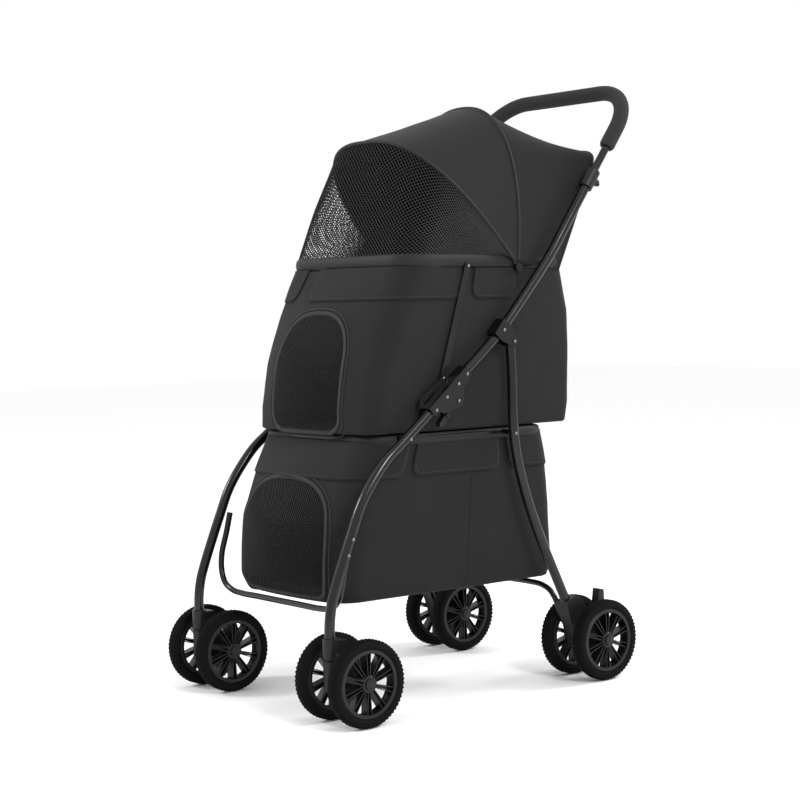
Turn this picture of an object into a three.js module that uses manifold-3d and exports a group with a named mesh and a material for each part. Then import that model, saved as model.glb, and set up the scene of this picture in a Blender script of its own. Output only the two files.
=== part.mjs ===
// Two-deck folding pet stroller. Millimetres, +Z up, +X to the rider's left when pushing, +Y to the rear.
// Side profiles are drawn in a (y, z) plane whose zero is the middle of the wheelbase on the floor.
import * as THREE from "three";
import { mergeVertices } from "three/addons/utils/BufferGeometryUtils.js";
import Module from "manifold-3d";

const wasm = await Module();
wasm.setup();

// ---- driving dimensions ----
const CENTRE_SHIFT = -63.2;
const GAP = 0.3;
const SIDES = { right: 1, left: -1 };
const RAIL_X = 203;
const TUBE_R = 9;
const TUBE_BORE_R = 7.8;
const TUBE_SIDES = 8;
const WHEEL_R = 75;
const TYRE_WIDTH = 25;
const TYRE_DEPTH = 16;
const SPOKES = 10;
const FRONT_WHEEL_OFFSET = 46;
const REAR_WHEEL_OFFSET = 42;
const CASTER = { y: -301, trail: 39 };
const REAR_AXLE = { y: 301, z: WHEEL_R };
const HUB = { y: -32, z: 553, slopeDeg: 39.5, pivotAlong: -2, pivotBelow: 22 };
const LEG_PIVOT = { y: 114, z: 635 };
const CLAMP = { y: 91, z: 654 };
const LOWER_RIM_FRONT = { y: -125, z: 473 };
const LOWER_RIM_REAR = { y: 118, z: 469 };
const UPPER_RIM_PIVOT = { y: 210, z: 773 };
const STAY_TOP = { y: 31, z: 771 };
const STAY_BOTTOM = { y: -31, z: 574 };
const CANOPY_PIVOT = { y: 150, z: 768 };
const HANDLE_SLOPE_DEG = 53.6;
const COLLAR_TOP = { y: 331, z: 946 };
const GRIP_START = 57;
const HANDLE_TOP = 199;
const HANDLE_CORNER_R = 98;
const GRIP_R = 14.5;
const FRONT_HOOP = { slopeDeg: 131.3, reach: 309, halfWidth: 191.2, fullness: 0.75 };
const REAR_HOOP = { slopeDeg: 83.8, reach: 307, halfWidth: 187.4, fullness: 0.88 };
const CLOTH = 2.4;

// ---- finishes ----
const finish = (color, roughness, metalness) => ({ color, roughness, metalness });
const PAINT = finish(0x1b1b1c, 0.32, 0.7);
const PLASTIC = finish(0x202021, 0.5, 0);
const TYRE = finish(0x2a2a2b, 0.75, 0);
const FOAM = finish(0x262627, 0.9, 0);
const OXFORD = finish(0x303031, 0.85, 0);
const MESH = finish(0x1d1d1e, 0.9, 0);

// ---- solids ----
const p3 = (x, y, z) => new THREE.Vector3(x, y, z);

/** Welds a geometry and turns its faces outward. */
function closed(geometry) {
  const shape = geometry.clone();
  shape.deleteAttribute("normal");
  shape.deleteAttribute("uv");
  const welded = mergeVertices(shape, 1e-4);
  const at = welded.attributes.position;
  const index = welded.index.array;
  let volume = 0;
  const [a, b, c] = [p3(0, 0, 0), p3(0, 0, 0), p3(0, 0, 0)];
  for (let i = 0; i < index.length; i += 3) {
    a.fromBufferAttribute(at, index[i]);
    b.fromBufferAttribute(at, index[i + 1]);
    c.fromBufferAttribute(at, index[i + 2]);
    volume += a.dot(b.cross(c));
  }
  if (volume < 0) {
    for (let i = 0; i < index.length; i += 3) {
      [index[i + 1], index[i + 2]] = [index[i + 2], index[i + 1]];
    }
  }
  return welded;
}

function toManifold(geometry) {
  const shape = closed(geometry);
  const mesh = new wasm.Mesh({
    numProp: 3,
    vertProperties: new Float32Array(shape.attributes.position.array),
    triVerts: new Uint32Array(shape.index.array),
  });
  mesh.merge();
  return new wasm.Manifold(mesh);
}

function fromManifold(solid) {
  const mesh = solid.getMesh();
  const geometry = new THREE.BufferGeometry();
  geometry.setAttribute("position", new THREE.BufferAttribute(mesh.vertProperties, 3));
  geometry.setIndex(new THREE.BufferAttribute(mesh.triVerts, 1));
  return geometry;
}

const join = (...parts) => fromManifold(parts.map(toManifold).reduce((a, b) => a.add(b)));
const cut = (body, ...tools) =>
  fromManifold(tools.map(toManifold).reduce((a, b) => a.subtract(b), toManifold(body)));

/** A round section with an optional bore. */
function roundSection(radius, bore, sides) {
  const outline = (r) =>
    Array.from({ length: sides }, (_, i) => {
      const turn = (i / sides) * 2 * Math.PI;
      return new THREE.Vector2(r * Math.cos(turn), r * Math.sin(turn));
    });
  const shape = new THREE.Shape(outline(radius));
  if (bore > 0) shape.holes.push(new THREE.Path(outline(bore)));
  return shape;
}

/** A tube or rod bent through points. */
function bentTube(points, radius, bore, steps, sides = TUBE_SIDES) {
  const path = new THREE.CatmullRomCurve3(points, false, "centripetal");
  return new THREE.ExtrudeGeometry(roundSection(radius, bore, sides), {
    steps,
    extrudePath: path,
    bevelEnabled: false,
  });
}

const RING_SIDES = 6;
/** A ring of round rod through a closed list of points. */
function rodRing(points, radius, steps) {
  const path = new THREE.CatmullRomCurve3(points, true, "centripetal");
  const rows = [];
  const frames = path.computeFrenetFrames(steps, true);
  for (let i = 0; i < steps; i++) {
    const centre = path.getPointAt(i / steps);
    rows.push(
      Array.from({ length: RING_SIDES }, (_, k) => {
        const turn = (k / RING_SIDES) * 2 * Math.PI;
        return centre
          .clone()
          .addScaledVector(frames.normals[i], radius * Math.cos(turn))
          .addScaledVector(frames.binormals[i], radius * Math.sin(turn));
      }),
    );
  }
  rows.push(rows[0]);
  return skin(rows);
}

/** Joins rows of equally many points, each row a closed loop, and caps the ends if asked. */
function skin(rows, capped = false) {
  const count = rows[0].length;
  const corners = rows.flat().flatMap((p) => [p.x, p.y, p.z]);
  const index = [];
  for (let r = 0; r < rows.length - 1; r++) {
    for (let k = 0; k < count; k++) {
      const a = r * count + k;
      const b = r * count + ((k + 1) % count);
      index.push(a, b, b + count, a, b + count, a + count);
    }
  }
  if (capped) {
    for (const [row, flip] of [[0, true], [rows.length - 1, false]]) {
      const middle = rows[row].reduce((sum, p) => sum.add(p), p3(0, 0, 0)).divideScalar(count);
      const centre = corners.length / 3;
      corners.push(middle.x, middle.y, middle.z);
      for (let k = 0; k < count; k++) {
        const a = row * count + k;
        const b = row * count + ((k + 1) % count);
        index.push(...(flip ? [b, a, centre] : [a, b, centre]));
      }
    }
  }
  const geometry = new THREE.BufferGeometry();
  geometry.setAttribute("position", new THREE.Float32BufferAttribute(corners, 3));
  geometry.setIndex(index);
  return geometry;
}

/** A cloth slab over a grid of points, thickened inwards. */
function slab(grid, thickness) {
  const [rows, cols] = [grid.length, grid[0].length];
  const inner = grid.map((row, i) =>
    row.map((point, j) => {
      const along = grid[Math.min(i + 1, rows - 1)][j].clone().sub(grid[Math.max(i - 1, 0)][j]);
      const across = row[Math.min(j + 1, cols - 1)].clone().sub(row[Math.max(j - 1, 0)]);
      const normal = across.cross(along).normalize();
      return point.clone().addScaledVector(normal, thickness);
    }),
  );
  const loops = [];
  for (let i = 0; i < rows; i++) loops.push([...grid[i], ...inner[i].slice().reverse()]);
  const geometry = skin(loops);
  const index = Array.from(geometry.index.array);
  const count = 2 * cols;
  for (const [row, flip] of [[0, true], [rows - 1, false]]) {
    for (let k = 0; k < cols - 1; k++) {
      const [a, b] = [row * count + k, row * count + k + 1];
      const [c, d] = [row * count + count - 2 - k, row * count + count - 1 - k];
      index.push(...(flip ? [b, a, d, b, d, c] : [a, b, c, a, c, d]));
    }
  }
  geometry.setIndex(index);
  return geometry;
}

/** A flat plate in the (y, z) plane between two x faces, with holes given as outlines. */
function plate(points, x0, x1, holes = []) {
  const vectors = (pairs) => pairs.map(([y, z]) => new THREE.Vector2(y, z));
  const shape = new THREE.Shape(vectors(points));
  for (const hole of holes) shape.holes.push(new THREE.Path(vectors(hole)));
  const geometry = new THREE.ExtrudeGeometry(shape, { depth: x1 - x0, bevelEnabled: false });
  geometry.applyMatrix4(new THREE.Matrix4().makeBasis(p3(0, 1, 0), p3(0, 0, 1), p3(1, 0, 0)));
  return geometry.translate(x0, 0, 0);
}

function circle(y, z, r, count) {
  return Array.from({ length: count }, (_, i) => {
    const turn = (i / count) * 2 * Math.PI;
    return [y + r * Math.cos(turn), z + r * Math.sin(turn)];
  });
}

/** The outline of a strap with round ends. */
function strap(from, to, r, count = 6) {
  const heading = Math.atan2(to.z - from.z, to.y - from.y);
  const arc = (c, start) =>
    Array.from({ length: count + 1 }, (_, i) => {
      const turn = start + (i / count) * Math.PI;
      return [c.y + r * Math.cos(turn), c.z + r * Math.sin(turn)];
    });
  return [...arc(to, heading - Math.PI / 2), ...arc(from, heading + Math.PI / 2)];
}

/** A round pin along X. */
function pin(x0, x1, y, z, r, sides = 10) {
  return new THREE.CylinderGeometry(r, r, x1 - x0, sides).rotateZ(Math.PI / 2).translate((x0 + x1) / 2, y, z);
}

/** A profile of (radius, x) pairs turned round the X axis through (y, z). */
function turned(profile, segments) {
  const points = profile.map(([r, x]) => new THREE.Vector2(r, x));
  return new THREE.LatheGeometry(points, segments).rotateZ(-Math.PI / 2);
}

// ---- the model tree ----
const stroller = new THREE.Group();
const chassis = new THREE.Group();
chassis.position.y = CENTRE_SHIFT;
stroller.add(chassis);

function add(name, geometry, look, parent = chassis) {
  const mesh = new THREE.Mesh(closed(geometry), new THREE.MeshStandardMaterial(look));
  mesh.name = name;
  parent.add(mesh);
  return mesh;
}

/** Adds a right-hand shape and its mirror image. */
function addPair(name, geometry, look) {
  for (const [side, sign] of Object.entries(SIDES)) {
    add(`${name}_${side}`, geometry.clone().scale(sign, 1, 1), look);
  }
}

const inPlane = (pairs, x = RAIL_X) => pairs.map(([y, z]) => p3(x, y, z));

// ---- hub: the folding knee between the front leg and the push tube ----
const hubSlope = THREE.MathUtils.degToRad(HUB.slopeDeg);
const hubAt = (along, above) => ({
  y: HUB.y + along * Math.cos(hubSlope) - above * Math.sin(hubSlope),
  z: HUB.z + along * Math.sin(hubSlope) + above * Math.cos(hubSlope),
});
const hubPair = (along, above) => [hubAt(along, above).y, hubAt(along, above).z];
const PIVOT = hubAt(HUB.pivotAlong, -HUB.pivotBelow);
const HUB_PIN_R = 3;
const HUB_HOLE_R = 3.4;
const CHANNEL = { inner: 10, outer: 12.2, from: -60, to: 52, top: 11.6, skirt: -9.5 };

function hubChannel() {
  const cheek = [
    hubPair(CHANNEL.from, CHANNEL.skirt + 3),
    hubPair(-25, CHANNEL.skirt - 3),
    hubPair(-14, -27),
    hubPair(-7, -31.5),
    hubPair(3, -31.5),
    hubPair(11, -25),
    hubPair(22, CHANNEL.skirt - 3),
    hubPair(CHANNEL.to, CHANNEL.skirt + 3),
    hubPair(CHANNEL.to, CHANNEL.top),
    hubPair(CHANNEL.from, CHANNEL.top),
  ];
  const web = [
    hubPair(CHANNEL.from, TUBE_R + GAP),
    hubPair(CHANNEL.to, TUBE_R + GAP),
    hubPair(CHANNEL.to, CHANNEL.top),
    hubPair(CHANNEL.from, CHANNEL.top),
  ];
  return join(
    plate(cheek, RAIL_X + CHANNEL.inner, RAIL_X + CHANNEL.outer),
    plate(cheek, RAIL_X - CHANNEL.outer, RAIL_X - CHANNEL.inner),
    plate(web, RAIL_X - CHANNEL.outer, RAIL_X + CHANNEL.outer),
    pin(RAIL_X - CHANNEL.outer - 1.5, RAIL_X + CHANNEL.outer + 1.5, PIVOT.y, PIVOT.z, HUB_PIN_R),
  );
}

function hubKnuckle() {
  const block = [
    hubPair(-42, -TUBE_R - GAP),
    hubPair(-42, -16),
    hubPair(-30, -24),
    hubPair(-9, -30.5),
    hubPair(-2, -32),
    hubPair(5, -29),
    hubPair(8, -22),
    hubPair(5, -15),
    hubPair(-2, -12),
    hubPair(-9.6, -TUBE_R - GAP),
  ];
  return plate(block, RAIL_X - 9.2, RAIL_X + 9.2, [circle(PIVOT.y, PIVOT.z, HUB_HOLE_R, 10)]);
}

const LATCH_PIN = hubAt(-34, -28);
function foldLatch() {
  const tip = hubAt(-54, -31);
  return join(
    plate(strap(LATCH_PIN, tip, 4.5), RAIL_X - 6, RAIL_X + 6),
    pin(RAIL_X - 9, RAIL_X + 9, LATCH_PIN.y, LATCH_PIN.z, 4.2, 10),
  );
}

addPair("hub_channel", hubChannel(), PAINT);
addPair("hub_knuckle", hubKnuckle(), PAINT);
addPair("fold_latch", foldLatch(), PLASTIC);

/** The arm on the front leg that carries the lower end of the basket stay. */
const ARM_X = { from: 188.3, to: 190.5 };
const ARM_FOOT = hubAt(-71, -1);
addPair(
  "stay_arm",
  join(
    plate(strap(ARM_FOOT, hubAt(-48, 20), 5), ARM_X.from, ARM_X.to),
    plate(strap(hubAt(-48, 20), STAY_BOTTOM, 5), ARM_X.from, ARM_X.to),
    pin(ARM_X.to - 0.2, RAIL_X - TUBE_R - GAP, ARM_FOOT.y, ARM_FOOT.z, 4),
  ),
  PAINT,
);

// ---- frame tubes ----
const FRONT_LEG_PATH = [
  hubPair(-9.4, 0),
  hubPair(-36, 0),
  hubPair(-62, 0),
  [-113, 487],
  [-141, 465],
  [-175, 438],
  [-226, 374],
  [-251, 320],
  [-270, 275],
  [-286, 235],
  [-296, 205],
  [-301, 172],
  [-301, 124],
];
const frontLeg = bentTube(inPlane(FRONT_LEG_PATH), TUBE_R, TUBE_BORE_R, 14);
addPair("front_leg", frontLeg, PAINT);

const handleSlope = THREE.MathUtils.degToRad(HANDLE_SLOPE_DEG);
const alongHandle = (distance) => [
  COLLAR_TOP.y + distance * Math.cos(handleSlope),
  COLLAR_TOP.z + distance * Math.sin(handleSlope),
];
const STRAIGHT_START = -190;
const PUSH_TUBE_PATH = [
  hubPair(-8.8, 0),
  hubPair(22, 0),
  hubPair(52, 0),
  [46, 616],
  [88, 651],
  [150, 716],
  alongHandle(STRAIGHT_START),
];
const lowerPush = new THREE.CatmullRomCurve3(inPlane(PUSH_TUBE_PATH), false, "centripetal").getPoints(12);
const upperPush = inPlane([alongHandle(STRAIGHT_START + 60), alongHandle(-60), alongHandle(-1)]);

/** A tube through given stations, each section square to the path's plane. */
function jointedTube(points, radius, bore, sides = TUBE_SIDES) {
  const ring = (r) => {
    return points.map((point, i) => {
      const before = points[Math.max(i - 1, 0)];
      const after = points[Math.min(i + 1, points.length - 1)];
      const forward = after.clone().sub(before).normalize();
      const across = p3(1, 0, 0);
      const up = across.clone().cross(forward).normalize();
      return Array.from({ length: sides }, (_, k) => {
        const turn = (k / sides) * 2 * Math.PI;
        return point
          .clone()
          .addScaledVector(across, r * Math.cos(turn))
          .addScaledVector(up, r * Math.sin(turn));
      });
    });
  };
  const outer = ring(radius);
  const inner = ring(bore).reverse();
  return skin([...outer, ...inner, outer[0]]);
}
addPair("push_tube", jointedTube([...lowerPush, ...upperPush], TUBE_R, TUBE_BORE_R), PAINT);

const REAR_LEG_PATH = [
  [LEG_PIVOT.y - 0.5, LEG_PIVOT.z + 8],
  [117, 590],
  [118, 540],
  [118, 500],
  [122, 452],
  [133, 401],
  [151, 345],
  [184, 268],
  [222, 192],
  [246, 144],
  [262, 112],
];
const rearLeg = cut(
  bentTube(inPlane(REAR_LEG_PATH), TUBE_R, TUBE_BORE_R, 11),
  pin(RAIL_X - 12, RAIL_X + 12, LEG_PIVOT.y, LEG_PIVOT.z, HUB_HOLE_R),
);
addPair("rear_leg", rearLeg, PAINT);

/** The bracket under the push tube that the rear leg hangs in. */
function legClamp() {
  const slope = Math.atan2(CLAMP.z - LEG_PIVOT.z, CLAMP.y - LEG_PIVOT.y) - Math.PI / 2;
  const at = (along, above) => [
    CLAMP.y + along * Math.cos(slope) - above * Math.sin(slope),
    CLAMP.z + along * Math.sin(slope) + above * Math.cos(slope),
  ];
  const reach = Math.hypot(CLAMP.z - LEG_PIVOT.z, CLAMP.y - LEG_PIVOT.y);
  const cheek = [
    at(-17, 14.4),
    at(-17, -8),
    at(-10, -reach),
    at(-6, -reach - 8),
    at(6, -reach - 8),
    at(10, -reach),
    at(17, -8),
    at(17, 14.4),
  ];
  const web = [at(-17, TUBE_R + 3), at(17, TUBE_R + 3), at(17, 14.4), at(-17, 14.4)];
  return join(
    plate(cheek, RAIL_X + CHANNEL.inner, RAIL_X + CHANNEL.outer),
    plate(cheek, RAIL_X - CHANNEL.outer, RAIL_X - CHANNEL.inner),
    plate(web, RAIL_X - CHANNEL.outer, RAIL_X + CHANNEL.outer),
    pin(RAIL_X - CHANNEL.outer - 1.5, RAIL_X + CHANNEL.outer + 1.5, LEG_PIVOT.y, LEG_PIVOT.z, HUB_PIN_R),
  );
}
addPair("leg_clamp", legClamp(), PAINT);

// ---- cross braces ----
const BRACE_R = 5.5;
const BRACE_X = RAIL_X - TUBE_R - BRACE_R - 0.5;
/** Mirrors the right-hand half of a cross bar's route, given from its middle outwards. */
function crossRoute(half) {
  const right = half.map(([x, y, z]) => p3(x, y, z));
  const left = half.map(([x, y, z]) => p3(-x, y, z)).reverse();
  return [...left, ...right];
}
const FRONT_BRACE_HALF = [
  [60, -262, 186],
  [120, -262, 186],
  [150, -262, 189],
  [172, -263, 200],
  [184, -262, 222],
  [BRACE_X, -258, 252],
  [BRACE_X, -247, 290],
  [BRACE_X, -238, 326],
];
add("front_brace", bentTube(crossRoute(FRONT_BRACE_HALF), BRACE_R, 0, 32, 6), PAINT);
const REAR_BRACE_X = 183.6;
const REAR_BRACE_HALF = [
  [60, 240, 176],
  [105, 240, 176],
  [140, 240, 174],
  [165, 240, 165],
  [179, 241, 148],
  [REAR_BRACE_X, 246, 128],
  [REAR_BRACE_X, 254, 110],
];
add("rear_brace", bentTube(crossRoute(REAR_BRACE_HALF), BRACE_R, 0, 28, 6), PAINT);

// ---- push handle ----
const HANDLE_TUBE_R = 7.3;
const HANDLE_BURIED = 135;
const cornerArc = (sign) =>
  Array.from({ length: 7 }, (_, i) => {
    const turn = (i / 6) * (Math.PI / 2);
    const [y, z] = alongHandle(HANDLE_TOP - HANDLE_CORNER_R + HANDLE_CORNER_R * Math.sin(turn));
    return p3(sign * (RAIL_X - HANDLE_CORNER_R + HANDLE_CORNER_R * Math.cos(turn)), y, z);
  });
const straightLeg = (sign, from, to, count) =>
  Array.from({ length: count }, (_, i) => {
    const [y, z] = alongHandle(from + ((to - from) * i) / count);
    return p3(sign * RAIL_X, y, z);
  });
function handleRoute(from) {
  const bend = HANDLE_TOP - HANDLE_CORNER_R;
  const right = [...straightLeg(1, from, bend, 2), ...cornerArc(1)];
  const left = [...straightLeg(-1, from, bend, 2), ...cornerArc(-1)].reverse();
  return [...right, ...left];
}

/** A tube whose route lies in the handle's plane. */
function handleTube(points, radius, bore, sides) {
  const normal = p3(0, -Math.sin(handleSlope), Math.cos(handleSlope));
  const ring = (r) =>
    points.map((point, i) => {
      const before = points[Math.max(i - 1, 0)];
      const after = points[Math.min(i + 1, points.length - 1)];
      const forward = after.clone().sub(before).normalize();
      const across = normal.clone().cross(forward);
      return Array.from({ length: sides }, (_, k) => {
        const turn = (k / sides) * 2 * Math.PI;
        return point
          .clone()
          .addScaledVector(across, r * Math.cos(turn))
          .addScaledVector(normal, r * Math.sin(turn));
      });
    });
  const outer = ring(radius);
  return skin([...outer, ...ring(bore).reverse(), outer[0]]);
}
add("handle_tube", handleTube(handleRoute(-HANDLE_BURIED), HANDLE_TUBE_R, 6.1, 8), PAINT);
add("handle_grip", handleTube(handleRoute(GRIP_START), GRIP_R, HANDLE_TUBE_R + GAP, 8), FOAM);

/** The plastic collar on top of the push tube, with a boss at the back for the button. */
const COLLAR = { length: 38, r: 13, boreR: TUBE_R + GAP };
const BUTTON = { r: 4, along: -14, from: 15, to: 24 };
const backwards = [Math.sin(handleSlope), -Math.cos(handleSlope)];
function handleRod(along, from, to, r) {
  const [y, z] = alongHandle(along);
  const middle = (from + to) / 2;
  return new THREE.CylinderGeometry(r, r, to - from, 12)
    .rotateX(-Math.atan2(Math.cos(handleSlope), Math.sin(handleSlope)))
    .translate(RAIL_X, y + middle * backwards[0], z + middle * backwards[1]);
}
function axialSleeve(from, to, r, bore) {
  const rows = [from, to].map((d) => p3(RAIL_X, ...alongHandle(d)));
  return jointedTube(rows, r, bore, 16);
}
const collarBody = join(
  axialSleeve(-COLLAR.length, 0, COLLAR.r, COLLAR.boreR),
  cut(handleRod(BUTTON.along, 10.5, 19, 7), axialSleeve(-60, 20, COLLAR.r - 1.5, 0.2)),
);
addPair("collar", cut(collarBody, handleRod(BUTTON.along, 14.4, 30, BUTTON.r + 0.5)), PLASTIC);
addPair("release_button", handleRod(BUTTON.along, BUTTON.from + 3.6, BUTTON.to, BUTTON.r), PLASTIC);

// ---- wheels ----
const WHEEL_SEGMENTS = 20;
function tyreRing() {
  const [outer, inner, half] = [WHEEL_R, WHEEL_R - TYRE_DEPTH, TYRE_WIDTH / 2];
  return turned(
    [
      [inner, -half + 2],
      [outer - 5, -half],
      [outer, -half + 6],
      [outer, half - 6],
      [outer - 5, half],
      [inner, half - 2],
      [inner, -half + 2],
    ],
    WHEEL_SEGMENTS,
  );
}
const AXLE_R = 5;
function rimBody() {
  const outer = WHEEL_R - TYRE_DEPTH - GAP;
  const [windowOuter, windowInner, spokeHalf] = [outer - 7, 15, 3];
  const windows = Array.from({ length: SPOKES }, (_, i) => {
    const middle = ((i + 0.5) / SPOKES) * 2 * Math.PI;
    const corner = (radius, sign) => {
      const turn = middle + sign * (Math.PI / SPOKES - Math.asin(spokeHalf / radius));
      return [radius * Math.cos(turn), radius * Math.sin(turn)];
    };
    return [corner(windowOuter, -1), corner(windowOuter, 1), corner(windowInner, 1), corner(windowInner, -1)];
  });
  const bore = circle(0, 0, AXLE_R + 2 * GAP, 10);
  return plate(circle(0, 0, outer, WHEEL_SEGMENTS), -9, 9, [...windows, bore]);
}
const tyre = tyreRing();
const rim = rimBody();
function addWheel(name, parent, x, y) {
  add(`${name}_tyre`, tyre.clone().translate(x, y, 0), TYRE, parent);
  add(`${name}_rim`, rim.clone().translate(x, y, 0), PLASTIC, parent);
}

// ---- front casters ----
const SOCKET = { r: 13, top: 150, bottom: 116 };
const STEM = { r: 12.5, top: 112, bottom: 62 };
const upright = (r, z0, z1, sides = 16) =>
  new THREE.CylinderGeometry(r, r, z1 - z0, sides).rotateX(Math.PI / 2).translate(0, 0, (z0 + z1) / 2);
for (const [side, sign] of Object.entries(SIDES)) {
  const station = new THREE.Group();
  station.position.set(sign * RAIL_X, CASTER.y, 0);
  chassis.add(station);
  const hoodOutline = [[2, 147], [2, 124], [20, 124], [30, 132], [30, 142], [24, 147]];
  const socket = cut(
    join(upright(SOCKET.r, SOCKET.bottom, SOCKET.top), plate(hoodOutline, -12, 12)),
    upright(TUBE_R + 0.9, 123.5, 160, 8),
  );
  add(`caster_socket_${side}`, socket, PLASTIC, station);
  const cheek = [[-6, 66], [0, 62], [CASTER.trail + 2, 63], [CASTER.trail + 12, 75], [26, 104], [0, 106]];
  const fork = join(
    upright(STEM.r, STEM.bottom, STEM.top),
    upright(6, STEM.top - 1, SOCKET.bottom - GAP, 12),
    plate(cheek, -13, 13),
    pin(-FRONT_WHEEL_OFFSET - 13, FRONT_WHEEL_OFFSET + 13, CASTER.trail, WHEEL_R, AXLE_R),
    pin(-FRONT_WHEEL_OFFSET + 11.5, FRONT_WHEEL_OFFSET - 11.5, CASTER.trail, WHEEL_R, 9),
  );
  add(`caster_fork_${side}`, fork, PLASTIC, station);
  const wheels = new THREE.Group();
  wheels.position.set(0, CASTER.trail, WHEEL_R);
  station.add(wheels);
  addWheel(`front_${side}_outer`, wheels, sign * FRONT_WHEEL_OFFSET, 0);
  addWheel(`front_${side}_inner`, wheels, -sign * FRONT_WHEEL_OFFSET, 0);
}

// ---- rear wheel brackets and brakes ----
const REAR_BLOCK = [
  [262, 60],
  [318, 60],
  [330, 75],
  [328, 92],
  [294, 119],
  [274, 152],
  [256, 160],
  [234, 150],
  [238, 128],
];
for (const [side, sign] of Object.entries(SIDES)) {
  const station = new THREE.Group();
  station.position.set(sign * RAIL_X, 0, 0);
  chassis.add(station);
  const legHole = bentTube(inPlane(REAR_LEG_PATH.slice(-4), 0), TUBE_R + 0.5, 0, 8);
  const reach = REAR_WHEEL_OFFSET + TYRE_WIDTH / 2 + 0.5;
  const shoulder = REAR_WHEEL_OFFSET - TYRE_WIDTH / 2 + 1;
  const bracket = join(
    cut(plate(REAR_BLOCK, -13.5, 13.5), legHole),
    pin(-reach, reach, REAR_AXLE.y, REAR_AXLE.z, AXLE_R),
    pin(-shoulder, shoulder, REAR_AXLE.y, REAR_AXLE.z, 9),
  );
  add(`wheel_bracket_${side}`, bracket, PLASTIC, station);
  const wheels = new THREE.Group();
  wheels.position.set(0, REAR_AXLE.y, REAR_AXLE.z);
  station.add(wheels);
  addWheel(`rear_${side}_outer`, wheels, sign * REAR_WHEEL_OFFSET, 0);
  addWheel(`rear_${side}_inner`, wheels, -sign * REAR_WHEEL_OFFSET, 0);
  const pedal = join(
    plate([[300, 124], [334, 106], [336, 122], [334, 162], [322, 164], [318, 134], [302, 138]], -8.5, 8.5),
  );
  add(`brake_pedal_${side}`, pedal, PLASTIC, station);
}

// ---- basket rims ----
const RIM_R = 5;
/** A rounded rectangle of points at one height. */
function loopAt(halfWidth, front, rear, corner, height, perCorner = 5) {
  const corners = [
    [halfWidth - corner, rear - corner, 0],
    [-halfWidth + corner, rear - corner, 90],
    [-halfWidth + corner, front + corner, 180],
    [halfWidth - corner, front + corner, 270],
  ];
  return corners.flatMap(([x, y, start]) =>
    Array.from({ length: perCorner }, (_, i) => {
      const turn = THREE.MathUtils.degToRad(start + (90 * i) / (perCorner - 1));
      return p3(x + corner * Math.cos(turn), y + corner * Math.sin(turn), height);
    }),
  );
}
const UPPER_RIM_X = 178;
const LOWER_RIM_X = 171;
const upperLoop = loopAt(UPPER_RIM_X, -98, 262, 60, UPPER_RIM_PIVOT.z);
const lowerLoop = loopAt(LOWER_RIM_X, -176, 228, 50, LOWER_RIM_FRONT.z - 2);
const bossPair = (x0, x1, y, z, r) => [1, -1].map((s) => pin(x0, x1, y, z, r, 8).scale(s, 1, 1));
add(
  "upper_rim",
  join(
    rodRing(upperLoop, RIM_R, 28),
    ...bossPair(UPPER_RIM_X, RAIL_X - TUBE_R - GAP, UPPER_RIM_PIVOT.y, UPPER_RIM_PIVOT.z, 4.5),
    ...bossPair(UPPER_RIM_X, 185.2, STAY_TOP.y, UPPER_RIM_PIVOT.z, 4.5),
    ...bossPair(UPPER_RIM_X, 188.6, STAY_TOP.y, STAY_TOP.z, 2),
    ...bossPair(UPPER_RIM_X, 185.2, CANOPY_PIVOT.y, CANOPY_PIVOT.z + 3, 9),
    ...bossPair(UPPER_RIM_X, 193, CANOPY_PIVOT.y, CANOPY_PIVOT.z, 2),
  ),
  PAINT,
);
add(
  "lower_rim",
  join(
    rodRing(lowerLoop, RIM_R, 28),
    ...bossPair(LOWER_RIM_X, RAIL_X - TUBE_R - GAP, LOWER_RIM_FRONT.y, LOWER_RIM_FRONT.z, 4.5),
    ...bossPair(LOWER_RIM_X, RAIL_X - TUBE_R - GAP, LOWER_RIM_REAR.y, LOWER_RIM_REAR.z + 2, 4.5),
  ),
  PAINT,
);

/** The flat stay from the upper rim down to the arm on the front leg. */
const STAY_X = { from: 185.5, to: 188 };
addPair(
  "basket_stay",
  plate(strap(STAY_BOTTOM, STAY_TOP, 6.5), STAY_X.from, STAY_X.to, [circle(STAY_TOP.y, STAY_TOP.z, 2.9, 8)]),
  PAINT,
);

// ---- canopy hoops ----
function archPoint(hoop, turn, inset = 0) {
  const slope = THREE.MathUtils.degToRad(hoop.slopeDeg);
  const rise = Math.max(Math.sin(turn), 0) ** hoop.fullness * (hoop.reach - inset);
  const across = Math.sign(Math.cos(turn)) * Math.abs(Math.cos(turn)) ** hoop.fullness;
  return p3(
    across * (hoop.halfWidth - inset),
    CANOPY_PIVOT.y + rise * Math.cos(slope),
    CANOPY_PIVOT.z + rise * Math.sin(slope),
  );
}
const archRow = (hoop, count, inset = 0, from = 0) =>
  Array.from({ length: count + 1 }, (_, i) => {
    const turn = from + (i / count) * (Math.PI - 2 * from);
    return archPoint(hoop, turn, inset);
  });
function hoopRod(hoop, x0, x1) {
  const round = (r, count) => circle(CANOPY_PIVOT.y, CANOPY_PIVOT.z, r, count);
  const eyes = [1, -1].map((side) => plate(round(7, 12), x0, x1, [round(2.6, 8)]).scale(side, 1, 1));
  const slope = THREE.MathUtils.degToRad(hoop.slopeDeg);
  const footReach = 5.5;
  const foot = (sign) =>
    p3(
      (sign * (x0 + x1)) / 2,
      CANOPY_PIVOT.y + footReach * Math.cos(slope),
      CANOPY_PIVOT.z + footReach * Math.sin(slope),
    );
  const rod = bentTube([foot(1), ...archRow(hoop, 16, 0, 0.06), foot(-1)], 1.4, 0, 28, 6);
  return join(rod, ...eyes);
}
add("front_hoop", hoopRod(FRONT_HOOP, 189.4, 192.2), PAINT);
add("rear_hoop", hoopRod(REAR_HOOP, 185.8, 188.8), PAINT);

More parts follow.
